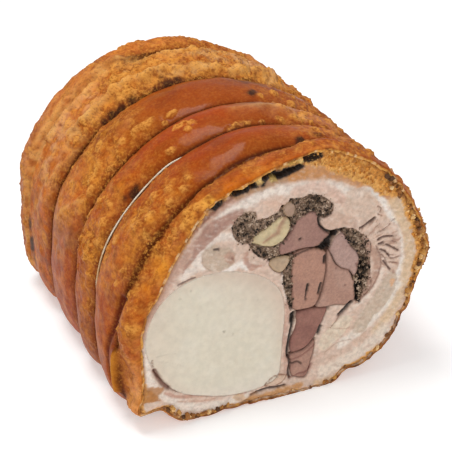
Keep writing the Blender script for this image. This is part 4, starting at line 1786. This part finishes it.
def garlic_look(tint, shade, core=()):
    """A clove's look: satin and pale, with a pinkish core where it is cut through."""
    tint = np.array(tint)

    def look(spots, into):
        flat = with_z(spots)
        depth = 0.12 * noise(flat, 5, seed=91) + 0.9 * bell(into, 0.8) - 0.4
        colours = plain(spots, tint)
        dapple(colours, flat, 6, 92, -0.1, 0.7, 0.45, shade)
        dapple(colours, flat, 1.8, 93, 0.1, 0.7, 0.25, tint * 0.78)
        lay(colours, into, 1.4, 0.1, 0.5, (0.36, 0.24, 0.12))
        if len(core):
            away = distance_to_path(spots, smooth_path(core, 1.0), reach=6)
            away += 0.35 * noise(flat, 2, seed=94)
            depth += 0.5 * bell(away, 0.9)
            middle = soft(spots[:, 1], 118, 123) * soft(spots[:, 1], 133, 128)
            paint(colours, bell(away, 0.9 + 1.1 * middle) * 0.8, (0.36, 0.19, 0.12))
        return depth, colours

    return look


def clove(name, node, look, material, back):
    """A clove of garlic that sits in the cut, with a rounded back."""
    outline = even_outline(grown(even_outline(front_outline(node), 1.0), 0.1), 0.5)
    spots, faces = fill_outline(outline, 0.6)
    into = depth_inside(spots, outline)
    depth, colours = look(spots, into)
    centre = outline.mean(axis=0)
    far = fill_outline(outline, 1.2)
    shrunk = centre + (far[0] - centre) * 0.9
    far_into = depth_inside(far[0], outline)
    dome = np.sqrt(np.clip(far_into / far_into.max(), 0, 1))
    far_places = to_model(shrunk[:, 0], 1.5 + (back - 1.5) * dome, shrunk[:, 1])
    piece = slab(
        name, (spots, faces), depth, colours, far, far_places, look(far[0], far_into)[1],
        len(outline),
    )
    return put_in_place(piece, node, material)


def scatter(bed, tree, material, amounts):
    """Crumbs scattered over a bed, which is left out of the result."""
    density, smallest, largest, flatness, seed = amounts
    sizes = {"Density": density, "Smallest": smallest * MM, "Largest": largest * MM}
    sizes |= {"Flatness": flatness, "Seed": seed}
    return put_in_place(run_tree(bed, tree, sizes, material))


def herb_crumbs(tree, material):
    """Chopped leaves and pepper, loose on the face of the stuffing and a little past it."""
    places, faces, thick, size = [], [], [], 0
    for node in HERBS:
        inner = even_outline(front_outline(node), 1.5)
        spots, triangles = fill_outline(even_outline(grown(inner, 3.2), 1.2), 1.2)
        flat = with_z(spots)
        into = depth_inside(spots, inner)
        lift = 0.1 + 0.5 * noise(flat, 2.4, seed=85) + 0.5 * noise(flat, 6, seed=81)
        places.append(to_model(spots[:, 0], lift, spots[:, 1]))
        faces.append(triangles + size)
        patchy = soft(noise(flat, 4, seed=86), -0.3, 0.4)
        cover = soft(into, -2.8, 0.6) * np.where(into > 0, 1, 0.5 * patchy)
        thick.append(cover * (1 - 0.75 * outer_herbs(spots)))
        size += len(spots)
    places, faces, thick = np.vstack(places), np.vstack(faces), np.concatenate(thick)
    bed = make_piece("herb_crumbs", places, faces, crumbs=thick)
    return scatter(bed, tree, material, HERB_CRUMBS)


def rim_crumbs(tree, material):
    """Crisp golden crumbs over the porous crackling of the rim, coarser at the right."""
    spots, faces = fill_outline(meat_outline(), 2.0)
    depth, _, crisp = flesh_look(spots)
    patchy = soft(noise(with_z(spots), 5, seed=95), -0.4, 0.5)
    thick = crisp * soft(skin_depth(spots)[1], 4, 8) * patchy
    places = to_model(spots[:, 0], depth - 0.2, spots[:, 1])
    bed = make_piece("rim_crumbs", places, faces, crumbs=thick)
    return scatter(bed, tree, material, RIM_CRUMBS)


# Angles along the rim's right side and foot, and how thickly crumbs lie there.
CRAG_THICKNESS = (
    (-140, -130, -122, -112, -104, -84, -70, -60, -45, -30, -14, -8, 8, 18, 44),
    (0.3, 0.9, 0.8, 0.2, 0.04, 0.04, 0.3, 0.05, 0.25, 0.05, 0.4, 1, 1, 0.5, 0.2),
)


def crag_crumbs(tree, material):
    """The crumbly crag where the rind has broken up at the right of the rim."""
    angles = np.arange(-140, 44, 1.2)
    bulge = 1.2 * bell(angles - 3, 12)
    shares = np.linspace(0, 1, 9)
    rows, thick = [], []
    for share in shares:
        y = -1.5 + 13.0 * share
        rough = noise(np.stack((angles * 1.6, 0 * angles + y, 0 * angles), 1), 6, seed=96)
        radius = rim_radius(angles) - 5.0 + (5.6 + bulge) * np.sin(math.pi * min(share, 0.62))
        x, z = around_axis(radius + 1.2 * rough, angles, lowest=2.5)
        rows.append(to_model(x, y, z))
        thick.append(np.interp(angles, *CRAG_THICKNESS) * (1 - 0.7 * share))
    grid = np.arange(len(shares) * len(angles)).reshape(len(shares), -1)
    corners = (grid[:-1, :-1], grid[:-1, 1:], grid[1:, 1:], grid[1:, :-1])
    faces = np.stack(corners, -1).reshape(-1, 4)
    bed = make_piece("crag_crumbs", np.vstack(rows), faces, crumbs=np.concatenate(thick))
    return scatter(bed, tree, material, CRAG_CRUMBS)


def twine_ring(tree, material):
    """The loop of twine in its crease. It has sunk in except along the upper left."""
    angles = np.arange(0, 360, 2.0)
    sunk = 1 - soft(angles, 119, 132) * soft(angles, 196, 185)
    radius = roll_radius(TWINE_CREASE + 1, 0.0, angles) + 2.5 - 3.2 * sunk
    y = crease_place(TWINE_CREASE, angles) + 0.25 * np.sin(angles * 9 * DEGREE)
    x, z = around_axis(radius, angles, lowest=1.0)
    count = len(angles)
    mesh = bpy.data.meshes.new("twine_path")
    edges = [(i, (i + 1) % count) for i in range(count)]
    mesh.from_pydata(to_model(x, y, z).tolist(), edges, [])
    twine = bpy.data.objects.new("kitchen_twine", mesh)
    bpy.context.scene.collection.objects.link(twine)
    return put_in_place(run_tree(twine, tree, TWINE_LAY, material), "twine")


# ---- stage ----


def studio():
    """A pale floor, soft lights and the camera."""
    mesh = bpy.data.meshes.new("floor")
    mesh.from_pydata([(-4, -4, 0), (4, -4, 0), (4, 4, 0), (-4, 4, 0)], [], [(0, 1, 2, 3)])
    floor = bpy.data.objects.new("floor", mesh)
    bpy.context.scene.collection.objects.link(floor)
    floor.data.materials.append(floor_finish())
    world = bpy.data.worlds.new("studio")
    bpy.context.scene.world = world
    world.use_nodes = True
    world.node_tree.nodes["Background"].inputs["Color"].default_value = (1, 1, 1, 1)
    world.node_tree.nodes["Background"].inputs["Strength"].default_value = SKY_STRENGTH
    for name, place, size, power in LIGHTS:
        light = bpy.data.lights.new(name, "AREA")
        light.size = size
        light.energy = power
        lamp = bpy.data.objects.new(name, light)
        lamp.location = place
        towards = Vector((0, 0, 0.08)) - Vector(place)
        lamp.rotation_euler = towards.to_track_quat("-Z", "Y").to_euler()
        bpy.context.scene.collection.objects.link(lamp)
    lens = bpy.data.cameras.new("camera")
    lens.lens = LENS
    lens.sensor_width = SENSOR_WIDTH
    lens.clip_start = 0.01
    camera = bpy.data.objects.new("camera", lens)
    azimuth, elevation = CAMERA_AZIMUTH * DEGREE, CAMERA_ELEVATION * DEGREE
    back = Vector((
        math.sin(azimuth) * math.cos(elevation),
        -math.cos(azimuth) * math.cos(elevation),
        math.sin(elevation),
    ))
    camera.location = CAMERA_PLACE
    camera.rotation_euler = back.to_track_quat("Z", "Y").to_euler()
    bpy.context.scene.collection.objects.link(camera)
    bpy.context.scene.camera = camera
    bpy.context.scene.view_settings.view_transform = "Standard"


# ---- assembly ----

# Each liver's tint, and the shade that it turns to in places.
LIVERS = {
    "liver_top": ((0.315, 0.165, 0.13), (0.37, 0.205, 0.155)),
    "liver_left": ((0.4, 0.21, 0.147), (0.33, 0.17, 0.13)),
    "liver_right": ((0.38, 0.21, 0.154), (0.43, 0.26, 0.2)),
    "liver_pale": ((0.41, 0.26, 0.217), (0.34, 0.2, 0.165)),
    "liver_low": ((0.236, 0.1, 0.076), (0.32, 0.15, 0.11)),
    "liver_tail": ((0.378, 0.208, 0.153), (0.27, 0.12, 0.09)),
}
HERBS = ("herb_stuffing_left", "herb_stuffing_top", "herb_stuffing_middle", "herb_stuffing_right")

# Each clove's tint, shade, core and depth into the roll.
CLOVES = {
    "garlic_clove_large": ((0.55, 0.44, 0.26), (0.48, 0.34, 0.17), GARLIC_CORE, 11),
    "garlic_clove_small": ((0.42, 0.29, 0.185), (0.5, 0.37, 0.25), (), 8),
    "garlic_clove_brown": ((0.36, 0.235, 0.165), (0.3, 0.18, 0.12), (), 8),
}
CHOPPED = (
    (0, (0.012, 0.009, 0.007)), (0.3, (0.05, 0.032, 0.02)), (0.5, (0.15, 0.092, 0.055)),
    (0.72, (0.33, 0.22, 0.145)), (1, (0.52, 0.385, 0.285)),
)
GOLDEN = (
    (0, (0.36, 0.11, 0.012)), (0.35, (0.6, 0.23, 0.03)), (0.7, (0.76, 0.35, 0.07)),
    (1, (0.86, 0.53, 0.22)),
)
BROWN = (
    (0, (0.1, 0.04, 0.015)), (0.35, (0.34, 0.13, 0.03)), (0.7, (0.58, 0.29, 0.07)),
    (1, (0.8, 0.54, 0.26)),
)


def build():
    """Makes every piece, from the rind inwards."""
    studio()
    relief, crumbling, lay = relief_tree(), crumb_tree(), twine_tree()
    crackling_roll(relief, crackling_finish())
    beds = [even_outline(front_outline(node), 2.0) for node in ("loin", *LIVERS, *HERBS, *CLOVES)]
    fat_and_meat(flesh_finish("fat_and_belly", 2.5, 0.25, 0.34, crisp=True), beds)
    pale = flesh_finish("roast_loin", 5.0, 0.06, 0.44, contrast=0.05)
    filling("roast_loin", "loin", 1.1, loin_look, pale, 1.5)
    dull = flesh_finish("cooked_liver", 1.2, 0.4, 0.46)
    lines = seam_lines()
    for node, (tint, shade) in LIVERS.items():
        filling("cooked_" + node, node, 0.8, liver_look(tint, shade), dull, 0.6, lines)
    garlic = flesh_finish("cut_garlic", 3.0, 0.05, 0.35)
    for node, (tint, shade, core, back) in CLOVES.items():
        clove("cut_" + node, node, garlic_look(tint, shade, core), garlic, back)
    packed = flesh_finish("packed_herbs", 0.9, 0.5, 0.6)
    for node in HERBS:
        filling("packed_" + node, node, 0.8, herb_look, packed, 0.3)
    herb_crumbs(crumbling, crumb_finish("chopped_herbs", CHOPPED))
    rim_crumbs(crumbling, crumb_finish("golden_crumbs", GOLDEN, 0.6))
    crag_crumbs(crumbling, crumb_finish("brown_crumbs", BROWN, 0.65))
    twine_ring(lay, twine_finish())


build()
